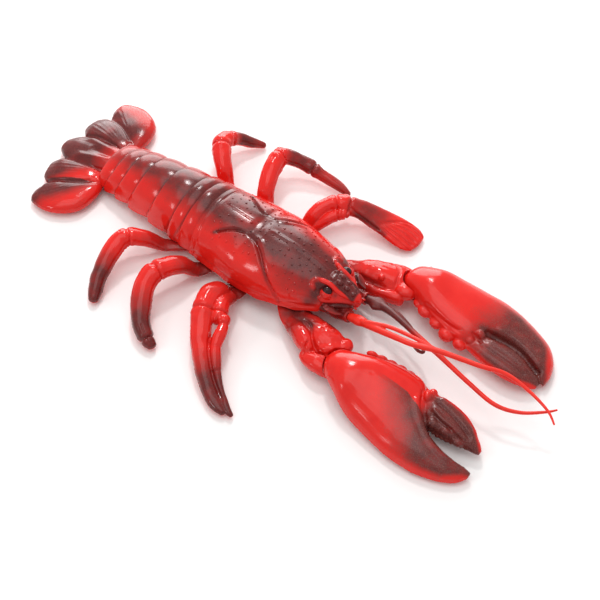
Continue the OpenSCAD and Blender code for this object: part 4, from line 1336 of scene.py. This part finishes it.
RIGHT_PALM = [
    (-57.5, 31.5, 36.5, 11, 10.6, 1.5, 0.9), (-61, 27.5, 42, 11, 10.5, 6, 1.4),
    (-66.5, 25.2, 45.8, 10.9, 10.2, 8.5, 1.4), (-75, 21.5, 50.4, 10.4, 9.2, 10.5, 1.5),
    (-84, 17.5, 53.4, 9.8, 5.6, 11.2, 3.8), (-96, 15.5, 56.2, 9.2, 4.2, 11, 3.6),
    (-106, 17, 58, 8.8, 3.6, 9.6, 3), (-113, 27, 58.6, 8.4, 3.2, 8.6, 2.6),
    (-121, 37.6, 58.6, 7.6, 2.8, 7, 2.2), (-130, 41, 57.6, 6.4, 2.4, 5.8, 1.8),
    (-140, 42, 54.4, 5.2, 2.4, 4.4, 1.8), (-147, 41.5, 50, 4.2, 2.6, 3, 1.5),
    (-150.5, 42, 45, 3.6, 3.2, 1.2, 1),
]
LEFT_PALM = [
    (-57.5, 31.5, 36, 11, 10.6, 1.5, 0.9), (-61, 27.5, 42, 11, 10.5, 6, 1.4),
    (-66.5, 25.2, 45, 10.9, 10.2, 8.5, 1.4), (-75, 21.5, 48.5, 10.4, 9.2, 10.5, 1.5),
    (-84, 18, 51, 9.8, 6, 11.2, 4), (-96, 15.5, 53, 9.2, 4.6, 11, 4),
    (-106, 16, 54, 8.8, 4, 9.6, 3.4), (-113, 25, 53.5, 8.4, 3.4, 8.6, 2.8),
    (-121, 29.6, 52.5, 7.6, 3, 7.4, 2.4), (-130, 30, 50, 6.6, 2.6, 6.6, 2),
    (-140, 27.5, 45.5, 5.6, 2.6, 5.4, 1.9), (-147, 24, 38, 4.6, 2.8, 3.6, 1.6),
    (-150.5, 22.5, 29, 3.8, 3.2, 1.2, 1),
]
RIGHT_FINGER = [
    (-107, 17.5, 27, 8.8, 7, 3, 2), (-113, 17.6, 32, 8.4, 6.8, 5, 3),
    (-121, 17.6, 35.2, 7.8, 6.4, 6, 3.2), (-130, 18.6, 35.4, 7, 6, 6, 3),
    (-138, 21.4, 33.6, 6.4, 5.6, 5, 2.6), (-145, 26, 32.6, 5.6, 5.2, 3, 1.8),
    (-148, 29, 31.6, 5.2, 5, 1.2, 0.8),
]
LEFT_FINGER = [
    (-107, 15, 27, 8.8, 7, 3, 2), (-113, 14, 30, 8.4, 6.8, 5, 3),
    (-121, 12.6, 31, 7.8, 6.4, 6, 3.2), (-130, 12.2, 31.4, 7, 5.8, 6, 3),
    (-138, 13.4, 29.4, 6.2, 5, 5, 2.4), (-145, 16, 26, 5, 4.4, 3, 1.8),
    (-148.5, 18.4, 22.4, 4.4, 4, 1.2, 0.8),
]


# Mould plane between the two halves: its height at the wrist and its tilt in degrees
PART_HEIGHT = 9.9
PART_TILT = (5.7, 4.3)


def halves(skin, side, wrist):
    """The claw's skin parted along the tilted mould plane, as an upper and a lower skin."""
    store(skin.mesh, "airbrush", skin.paint)
    skin.out()
    about_y, about_x = (math.radians(a) for a in PART_TILT)
    tilt = Matrix.Rotation(about_y, 3, "Y") @ Matrix.Rotation(about_x, 3, "X")
    up = tilt @ Vector((0, 0, 1))
    up.x *= side
    result = []
    for top in (True, False):
        bm = bmesh.new()
        bm.from_mesh(skin.mesh)
        everything = bm.verts[:] + bm.edges[:] + bm.faces[:]
        cut = bmesh.ops.bisect_plane(
            bm, geom=everything, plane_co=Vector((wrist[0], wrist[1], PART_HEIGHT)),
            plane_no=up, clear_inner=top, clear_outer=not top)
        rim = [e for e in cut["geom_cut"] if isinstance(e, bmesh.types.BMEdge)]
        bmesh.ops.triangle_fill(bm, edges=rim, use_beauty=True)
        bmesh.ops.recalc_face_normals(bm, faces=bm.faces)
        mesh = bpy.data.meshes.new("claw_half")
        bm.to_mesh(mesh)
        bm.free()
        half = Skin(mesh)
        values = np.empty(len(mesh.vertices), np.float32)
        mesh.attributes["airbrush"].data.foreach_get("value", values)
        half.paint = values.astype(float)
        result.append(half)
    return result


class LOBSTER_OT_claws(bpy.types.Operator):
    """Two claws, each in an upper and a lower half, with beads, teeth and grooved fingers"""
    bl_idname = "lobster.claws"
    bl_label = "Claws"

    def execute(self, context):
        for word, side in SIDES.items():
            right = word == "right"
            wrist = pivot("wrist_" + word)
            palm, finger = (RIGHT_PALM, RIGHT_FINGER) if right else (LEFT_PALM, LEFT_FINGER)
            parts = [on_side(side, lens(palm)), on_side(side, lens(finger))]
            rim = [(y, x0 - 0.4, x1 + 0.4, z0, z1, 0.45, 0.45)
                   for y, x0, x1, z0, z1, _, _ in palm[3:]]
            tooth = sizes().tooth_gap / MM
            if right:
                knobs = [
                    ball((23.6, -111.2, 12.2), 3.1), ball((19, -111.8, 10.6), 2.4),
                    ball((29.4, -116.6, 9.6), 2.6, (1, 1.3, 1)),
                    ball((33.4, -136.4, 7.2), 2.2, (1, 1.4, 1)),
                    ball((33, -121.2, 9.4), 3.0, (1, 1.2, 1)),
                    ball((32.6, -129, 9), 2.7, (1, 1.3, 1)),
                ]
                rows = [
                    stud_part([(18.6, -74, 10.4), (16.9, -81, 10), (15.8, -89, 9.6),
                               (15.8, -96, 9.4), (16.6, -103, 9.2), (18.4, -107, 9)],
                              side, 5.4, 1.9, (0.8, 1.5, 0.9)),
                    stud_part([(37.8, -118, 7), (41, -124, 6.6), (42.2, -131, 6),
                               (42.6, -139, 5.2), (42.2, -146, 4.4)], side, tooth, 1.05,
                              (1, 1, 1), 0.3, 7),
                    stud_part([(35.2, -118.6, 6.8), (35.6, -127, 6.4), (34.6, -134, 6),
                               (32.8, -141, 5.6)], side, tooth, 0.95, (1, 1, 1), 0.3, 5),
                ]
            else:
                knobs = [ball((24, -110.4, 12.4), 3.1), ball((18.8, -108, 10.8), 2.6),
                         ball((22.6, -73, 9.8), 2.4, (1, 1.3, 0.9), -20)]
                rows = [
                    stud_part([(20.2, -78.6, 10), (17.4, -87.6, 9.8), (14.8, -96.4, 9.6),
                               (14.2, -104.6, 9.4)], side, 6.9, 3.3, (0.95, 1.3, 0.85), 0.1, 4),
                ]
            parts += [on_side(side, knob) for knob in knobs] + rows
            parts.append(on_side(side, ball((44.4 if right else 43.2, -66.4, 14.2), 1.3)))
            parts.append(on_side(side, lens(rim)))
            skin = fuse("claw_" + word, parts, rounds=4, bores=[drum(wrist, 2.6, 4, 14.2)])
            self.carve(skin, side, right)
            self.spray(skin, side, right)
            for half, part in zip(halves(skin, side, wrist), ("upper", "lower")):
                piece(f"claw_{part}_{word}", half, "claw_" + word, "claw_plastic", "claw",
                      f"claw_{word}_{part}")
        return {"FINISHED"}

    def carve(self, skin, side, right):
        """Cuts the grooves and raises the ridges of one claw."""
        def line(*points):
            return mirrored(points, side)
        if right:
            # raised lip along the open jaw, and the seam behind the moving finger
            skin.score(line((25.6, -107.4, 14), (30.6, -109.6, 14), (35.4, -113.6, 13),
                            (39.6, -119.4, 12), (43.6, -126.4, 10), (45.2, -134, 8),
                            (44.6, -143, 6)), 1.5, -0.9)
            skin.score(line((21.6, -107.6, 14), (27, -110.6, 14), (31.4, -114.4, 13),
                            (35.2, -119.4, 11)), 0.8, 1.1)
            skin.score(line((23, -115.4, 13), (24.4, -124, 12.4), (26.6, -133, 11),
                            (29.6, -142, 8)), 1.1, 1.3)
            skin.score(line((27.4, -116.4, 12), (29.6, -124, 12), (30.6, -133, 10),
                            (31, -140, 8)), 1.0, -1.3)
            skin.score(line((19.8, -115, 11), (19.6, -124, 11), (21.4, -134, 9.6),
                            (26, -143, 7)), 1.0, -1.0)
            skin.score(line((30.4, -119, 11), (31.6, -126, 11), (31.8, -133, 9)), 0.6, 0.7)
            skin.swell((side * 48, -126, 11), 8, 0.5)
            skin.swell((side * 33, -84, 20), 0.9, -0.5)
        else:
            # one deep groove parts the closed fingers
            skin.score(line((26.6, -110.6, 14), (28.6, -118, 13.6), (29.4, -126, 12),
                            (28.4, -136, 9.6), (25.4, -147, 6)), 1.5, 2.0, ends=0.08)
            skin.score(line((32.4, -114, 14), (33.6, -124, 13), (32.4, -135, 10.6),
                            (28.6, -146, 7)), 1.7, -0.7)
            skin.score(line((23.4, -114.6, 13), (24, -124, 12.6), (23.4, -134, 10.6),
                            (21.6, -144, 7.6)), 1.3, -0.7)
            skin.score(line((19.4, -113, 12), (18.6, -124, 12), (18.6, -134, 10),
                            (19.4, -143, 7)), 1.2, 0.8)
            skin.score(line((38, -118, 12), (38.6, -128, 10.6), (35, -139, 8)), 2.2, 0.5)
            skin.score(line((21.4, -106.4, 13), (21.2, -111, 13), (20, -114.6, 12)), 0.7, 0.8)
        # hem of the bead row
        skin.score(line((21.6, -76, 15), (19, -86, 15), (17.6, -96, 15), (18.6, -104, 14)),
                   1.1, 0.55 if right else 0.8)
        skin.wrinkle(16, 0.4, 3.0 + side)

    def spray(self, skin, side, right):
        """Airbrushes the fingers of one claw, and paints shade into the left claw's finger groove.
        """
        x, y, z = skin.at[:, 0] * side, skin.at[:, 1], skin.at[:, 2]
        top = fade(skin.out()[:, 2], -0.25, 0.15)
        if right:
            outer = np.interp(-y, (100, 113, 121, 130, 140, 150), (57, 58.6, 58.6, 57.6, 54.4, 46))
            body = np.clip((-y + 0.95 * (47 - x) - 98) / 22, 0, 1) * fade(outer - x, -0.6, 2.8)
            fixed = x > np.interp(-y, (104, 113, 121, 130, 150), (30, 33, 36.4, 38.4, 38.4))
            skin.dust_and_shade(0.9 * body * top * fixed)
            inner = np.interp(-y, (107, 121, 130, 138, 148), (17.5, 17.6, 18.6, 21.4, 29))
            moving = ~fixed & (y < -109)
            skin.dust_and_shade(0.97 * moving * fade(-y, 110, 117) * fade(x - inner, 0.2, 3.4))
            for at in ((33, -121.8, 8.2), (32, -129.6, 7.6)):
                d = skin.distance((side * at[0], at[1], at[2]))
                skin.dust_and_shade(0.9 * fade(-d, -4.5, -3))
            skin.dust_and_shade(0.85 * fade(-y, 116, 121) * (x > 34) * fade(-x, -44.5, -41))
        else:
            outer = np.interp(-y, (100, 113, 121, 130, 140, 150), (54, 53.5, 52.5, 50, 45.5, 29))
            inner = np.interp(-y, (107, 121, 130, 138, 148), (15, 12.6, 12.2, 13.4, 18.4))
            body = np.clip((-y - 0.1 * abs(x - 32) - 98) / 20, 0, 1)
            skin.dust_and_shade(0.93 * body * top * fade(outer - x, 0, 7) * fade(x - inner, 0, 2))
            # painted shade in the deep groove between the closed fingers
            groove = mirrored([(26.6, -110, 14), (29.4, -126, 12), (25.4, -147, 6)], side)
            skin.dust_line_and_shade(groove, 2.6, 0.8, top, flat=True)


# ---------------------------------------------------------------- legs

LEGS = {
    ("right", "rear"): [
        (17, 48, 5.6, 4, 1.7), (22, 54, 5.2, 3.8, 1.7), (27, 60.4, 5.6, 4.2, 2.1),
        (33, 68, 11, 4.9, 4.1), (41, 75, 13.6, 5.2, 4.6), (52, 75, 11.8, 5.4, 4.7),
        (66, 71.5, 6.6, 4.4, 4.2), (73, 67.8, 4.2, 3.8, 3.4), (76.6, 65.6, 3.2, 3, 2.6)],
    ("right", "middle"): [
        (17, 29, 5.6, 4, 1.7), (23, 31.5, 5.2, 4.1, 1.7), (29, 35, 5.8, 4.8, 2.2),
        (35, 39.6, 11.6, 5.4, 4.4), (43, 43.4, 14.6, 5.8, 4.9), (52, 46, 14.6, 6, 5),
        (62.5, 43, 11.4, 5.6, 4.8), (73.6, 34.4, 6.8, 4.8, 4.2), (78.6, 26.6, 4.4, 3.9, 3.4),
        (80.2, 21.4, 3.2, 2.8, 2.4)],
    ("right", "front"): [
        (17, 8, 5.6, 4.4, 1.7), (24, 8.6, 5.2, 5, 1.7), (30, 10.6, 5.8, 6, 2.2),
        (36, 12.6, 11.6, 6.4, 4.4), (43.6, 13, 14.6, 6.2, 4.9), (54, 8.6, 13.8, 5.8, 4.8),
        (65.6, 0.2, 10.4, 5.2, 4.6), (76, -10.6, 6.8, 4.4, 4), (83.6, -20.6, 4.4, 3.8, 3),
        (87.4, -29, 3.2, 3.2, 2.4), (88.4, -33.6, 2.6, 2, 1.7)],
    ("left", "rear"): [
        (17, 48, 5.6, 4, 1.7), (22, 54, 5.2, 3.8, 1.7), (27, 60.6, 5.6, 4.2, 2),
        (32, 67, 11.2, 4.8, 4.2), (38, 73.6, 14.4, 5.2, 4.8), (46, 79.6, 14.6, 5.2, 4.6),
        (55, 78, 10.4, 4.2, 4), (63, 70.8, 5, 3.1, 3), (66.6, 66.8, 2.9, 1.9, 1.7)],
    ("left", "middle"): [
        (17, 29, 5.6, 4, 1.7), (23, 31.5, 5.2, 4.1, 1.7), (29, 35, 5.8, 4.6, 2.1),
        (35.4, 39.4, 11, 4.9, 4.1), (45, 43.6, 14.2, 5.2, 4.7), (56.6, 46, 15, 5.3, 4.7),
        (62.6, 38, 11.9, 4.3, 4), (65.8, 22, 6.8, 3.2, 3.1), (66.6, 10, 3.8, 2.4, 2.3),
        (66.4, 5.6, 2.8, 1.5, 1.4)],
    ("left", "front"): [
        (17, 8, 5.6, 4.4, 1.7), (24, 7.8, 5.2, 4.6, 1.7), (30, 7.2, 5.8, 4.8, 2.1),
        (36, 6.6, 10.8, 4.6, 4.1), (43.6, 4.6, 13.2, 4.6, 4.4), (50, -0.6, 13.6, 5.2, 4.6),
        (54.6, -9, 11.8, 6, 4.3), (57.6, -19, 8.8, 7.4, 3.7), (60, -32, 5.6, 8.9, 2.9),
        (60.6, -41, 3.7, 8.9, 2.2), (60.6, -45.6, 2.8, 6.6, 1.6)],
}
# How dark each leg is along its length, from the hub to the tip
LEG_PAINT = {
    ("right", "rear"): [(0.15, 0.7), (0.3, 0.5), (0.4, 0), (0.6, 0), (0.8, 0.9), (1, 1)],
    ("right", "middle"): [(0.15, 0.8), (0.3, 0.4), (0.38, 0), (0.58, 0), (0.8, 0.95), (1, 1)],
    ("right", "front"): [(0.14, 0.7), (0.24, 0.4), (0.33, 0), (0.62, 0), (0.8, 0.9), (1, 1)],
    ("left", "rear"): [(0.2, 0.1), (0.3, 0), (0.68, 0), (0.8, 0.9), (1, 0.8)],
    ("left", "middle"): [(0.2, 0.1), (0.3, 0), (0.5, 0), (0.58, 0.9), (0.72, 0.85), (0.82, 0.5),
                         (1, 0.7)],
    ("left", "front"): [(0.2, 0.1), (0.3, 0), (0.48, 0), (0.58, 0.6), (0.7, 0.5), (0.82, 0),
                        (1, 0)],
}
# Where the joint lines cross each leg
LEG_JOINTS = {
    ("right", "rear"): (0.47,), ("right", "middle"): (0.46, 0.95), ("right", "front"): (0.4,),
    ("left", "rear"): (0.56, 0.7), ("left", "middle"): (0.5, 0.73), ("left", "front"): (0.42, 0.5),
}


class LOBSTER_OT_legs(bpy.types.Operator):
    """Six walking legs, each with its hub, knuckles and painted end"""
    bl_idname = "lobster.legs"
    bl_label = "Legs"

    def execute(self, context):
        for (word, rank), rows in LEGS.items():
            side = SIDES[word]
            hub = pivot(f"leg_{word}_{rank}_swing")
            main = limb(rows, 20)
            extra = getattr(self, f"{word}_{rank}", lambda: [])()
            # thin flash of the mould seam, all the way round
            fin = limb([(x, y, z - 0.1 * h, w + 0.5, 0.4) for x, y, z, w, h in rows[4:-1]], 12)
            parts = [on_side(side, part) for part in (main, fin, *extra)]
            parts.append(drum(hub, 4.6, 3.6, 7.6))
            skin = fuse(f"leg_{word}_{rank}", parts, 0.36, 3, [drum(hub, 2.06, 2, 12)])
            path = mirrored(spline(rows, 6), side)
            self.knuckle(skin, path, LEG_JOINTS[word, rank])
            skin.wrinkle(6, 0.35, 4.0 + side)
            d, along = distance_to(skin.at, path)
            keys = np.array(LEG_PAINT[word, rank])
            dark = np.interp(along, keys[:, 0], keys[:, 1])
            skin.dust_and_shade(0.97 * dark * fade(skin.out()[:, 2], -0.5, 0.05))
            self.touch_up(skin, side, word, rank)
            piece(f"leg_skin_{word}_{rank}", skin, f"leg_{word}_{rank}", "limb_plastic", "limb",
                  f"leg_{word}_{rank}")
        return {"FINISHED"}

    def right_front(self):
        """Small second leg folded against the near front one."""
        return [
            limb([(34, 8, 8.4, 5, 3.4), (43, 5.6, 12.6, 5, 4.2), (51, 0.6, 12.6, 4.2, 4)], 14),
            ball((50.4, -2.6, 12.8), 3.5),
            limb([(53, -4.6, 12, 3, 3), (58.6, -6.4, 11.6, 3.5, 3.3), (63.6, -8.2, 10.4, 3.3, 3)],
                 14),
            limb([(65, -9, 9.8, 3.3, 3), (69.6, -12.6, 8.4, 3.4, 3), (73, -16.2, 7, 2.9, 2.6)],
                 14),
            limb([(70, -8, 7, 3, 2.6), (76, -15, 5.4, 2.6, 2.4), (82, -24, 4, 2.4, 2)], 12),
            limb([(73.6, -17.4, 6.6, 2.3, 2.1), (79, -23.8, 5, 2, 1.8), (83.6, -30.6, 3.8, 2, 1.8),
                  (86.4, -35.6, 2.9, 1.9, 1.6), (87.2, -38, 2.5, 1.4, 1.2)], 12),
        ]

    def left_front(self):
        """Second root and knuckles of the far front leg."""
        return [
            limb([(30, 3.4, 6, 2.4, 2), (34.4, 0.8, 9.2, 2.8, 2.8), (40, -1.6, 11.6, 3.4, 3.3),
                  (45.6, -4.4, 12, 3, 3)], 14),
            ball((48.2, 2.6, 14.2), 3.9, (1.3, 0.9, 0.9), -40),
            ball((54.6, -1.2, 13), 3.4, (1, 1.1, 0.9)),
            ball((47, -6, 12), 3.1, (1.2, 1, 0.9)),
        ]

    def left_middle(self):
        """Knuckle of the far middle leg, and the rail beside its thin last segment."""
        return [
            ball((58.4, 48, 14.6), 4.2, (1, 1, 0.85)),
            limb([(62, 43, 12.6, 3.6, 3.4), (65.4, 34, 10.6, 3.6, 3.4), (66.4, 29, 9, 3, 3)], 16),
            limb([(68.4, 24, 7.4, 1.1, 1.3), (69, 13, 4.6, 1, 1.2), (67.6, 5.6, 2.8, 0.8, 0.8)],
                 10),
        ]

    def left_rear(self):
        """Knuckle of the far rear leg."""
        return [ball((47.4, 81.4, 13.6), 3.8, (1, 1, 0.9)), ball((52.6, 79.6, 12), 3.3)]

    def knuckle(self, skin, path, joints):
        """Cuts the joint lines across a leg and swells both sides of each."""
        length = np.linalg.norm(np.diff(path[:, :3], axis=0), axis=1).sum()
        _, along = distance_to(skin.at, path)
        for j in joints:
            off = (along - j) * length
            skin.push(-0.7 * np.exp(-(off / 0.5) ** 2)
                      + 0.3 * np.exp(-((abs(off) - 2.2) / 1.5) ** 2))

    def touch_up(self, skin, side, word, rank):
        """Work that only one leg needs."""
        def line(*points):
            return mirrored(points, side)
        if (word, rank) == ("left", "front"):
            for k in range(6):
                x = 53.4 + 2.9 * k
                skin.score(line((54 + 0.9 * k, -22 - k, 9), (x, -36, 6), (x + 0.4, -47, 4)), 0.65,
                           0.6, ends=0.15)
            skin.score(line((49.6, -6, 13), (50.6, -16, 11), (51.6, -28, 8)), 0.8, 0.7)
            skin.dust_line_and_shade(line((50, -8, 13), (52, -20, 10), (52, -30, 7)), 1.6, 0.85)
            skin.dust_line_and_shade(line((53, -6, 15), (57, -15, 12), (60, -22, 9)), 3.4, 0.7)
        if (word, rank) == ("left", "middle"):
            skin.score(line((67, 26, 9.4), (67.6, 15, 6), (67, 7, 4)), 0.5, 0.7)
        if (word, rank) == ("right", "front"):
            skin.score(line((49, 1, 17), (56, -1.4, 15), (64, -4.4, 13), (72, -11.4, 9.6),
                            (80, -22, 6), (85, -32, 4)), 0.7, 0.9)
            for at in ((52.4, -4, 14), (64.6, -9.2, 11), (74, -17.6, 7.6)):
                skin.swell((side * at[0], at[1], at[2]), 1.2, -0.3)
        if (word, rank) == ("right", "middle"):
            skin.score(line((76, 32, 8), (80, 25, 5.6), (81.6, 21, 4)), 0.5, 0.4)


# ---------------------------------------------------------------- stage

class LOBSTER_OT_stage(bpy.types.Operator):
    """Pale floor, softbox light and the camera"""
    bl_idname = "lobster.stage"
    bl_label = "Stage"

    def execute(self, context):
        scene = context.scene
        s = scene.lobster_stage
        mesh = bpy.data.meshes.new("floor")
        reach = 3.0
        corners = [(x * reach, y * reach, 0) for x, y in ((-1, -1), (1, -1), (1, 1), (-1, 1))]
        mesh.from_pydata(corners, [], [(0, 1, 2, 3)])
        mesh.materials.append(finish_of("floor"))
        stand_in("floor", mesh)

        world = bpy.data.worlds.new("surround")
        world.use_nodes = True
        surround = world.node_tree.nodes["Background"].inputs
        surround["Color"].default_value = (1, 1, 1, 1)
        surround["Strength"].default_value = s.world
        scene.world = world
        aim = Vector((-0.0075, -0.0185, 0))
        # name, place, width and power of each light
        panels = (("overhead_softbox", (0.44, 0.37, 0.76), 0.12, s.key_power),
                  ("back_panel", (1.4, 1.2, 0.55), 1.4, s.fill_power * 0.75),
                  ("overhead_panel", (-0.1, 0.2, 1.9), 1.4, s.fill_power * 0.25),
                  ("side_softbox", (-0.75, 0.35, 0.55), 0.16, s.key_power * 0.3))
        for name, at, size, power in panels:
            light = bpy.data.lights.new(name, "AREA")
            light.shape, light.size, light.energy = "SQUARE", size, power
            lamp = stand_in(name, light)
            lamp.location = at
            lamp.rotation_euler = (aim - Vector(at)).to_track_quat("-Z", "Y").to_euler()

        camera = bpy.data.cameras.new("camera")
        camera.lens, camera.sensor_width = 85, 36
        camera.clip_start, camera.clip_end = 0.01, 20
        eye = stand_in("camera", camera)
        away = Vector((-math.sin(s.azimuth) * math.cos(s.elevation),
                       -math.cos(s.azimuth) * math.cos(s.elevation), math.sin(s.elevation)))
        eye.location = aim + away * s.distance
        eye.rotation_euler = (-away).to_track_quat("-Z", "Y").to_euler()
        scene.camera = eye
        scene.view_settings.view_transform = "Standard"
        return {"FINISHED"}


# ---------------------------------------------------------------- panel and registration

OPERATORS = (LOBSTER_OT_stage, LOBSTER_OT_carapace, LOBSTER_OT_abdomen, LOBSTER_OT_belly,
             LOBSTER_OT_tail, LOBSTER_OT_head, LOBSTER_OT_antennae, LOBSTER_OT_arms,
             LOBSTER_OT_claws, LOBSTER_OT_legs)


class LOBSTER_PT_panel(bpy.types.Panel):
    """Lists the pieces of the lobster"""
    bl_label = "Lobster"
    bl_idname = "LOBSTER_PT_panel"
    bl_space_type = "VIEW_3D"
    bl_region_type = "UI"
    bl_category = "Lobster"

    def draw(self, context):
        for operator in OPERATORS:
            self.layout.operator(operator.bl_idname)
        for group in (context.scene.lobster_sizes, context.scene.lobster_colours,
                      context.scene.lobster_stage):
            for name in group.bl_rna.properties.keys():
                if name not in ("rna_type", "name"):
                    self.layout.prop(group, name)


GROUPS = {"lobster_sizes": LobsterSizes, "lobster_colours": LobsterColours,
          "lobster_stage": LobsterStage}
CLASSES = (*GROUPS.values(), *OPERATORS, LOBSTER_PT_panel)


def register():
    for cls in CLASSES:
        bpy.utils.register_class(cls)
    for name, group in GROUPS.items():
        setattr(bpy.types.Scene, name, bpy.props.PointerProperty(type=group))


def unregister():
    for name in GROUPS:
        delattr(bpy.types.Scene, name)
    for cls in reversed(CLASSES):
        bpy.utils.unregister_class(cls)


def main():
    register()
    for operator in OPERATORS:
        family, word = operator.bl_idname.split(".")
        if getattr(getattr(bpy.ops, family), word)() != {"FINISHED"}:
            raise RuntimeError(operator.bl_label + " didn't finish")
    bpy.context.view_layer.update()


if __name__ == "__main__":
    main()
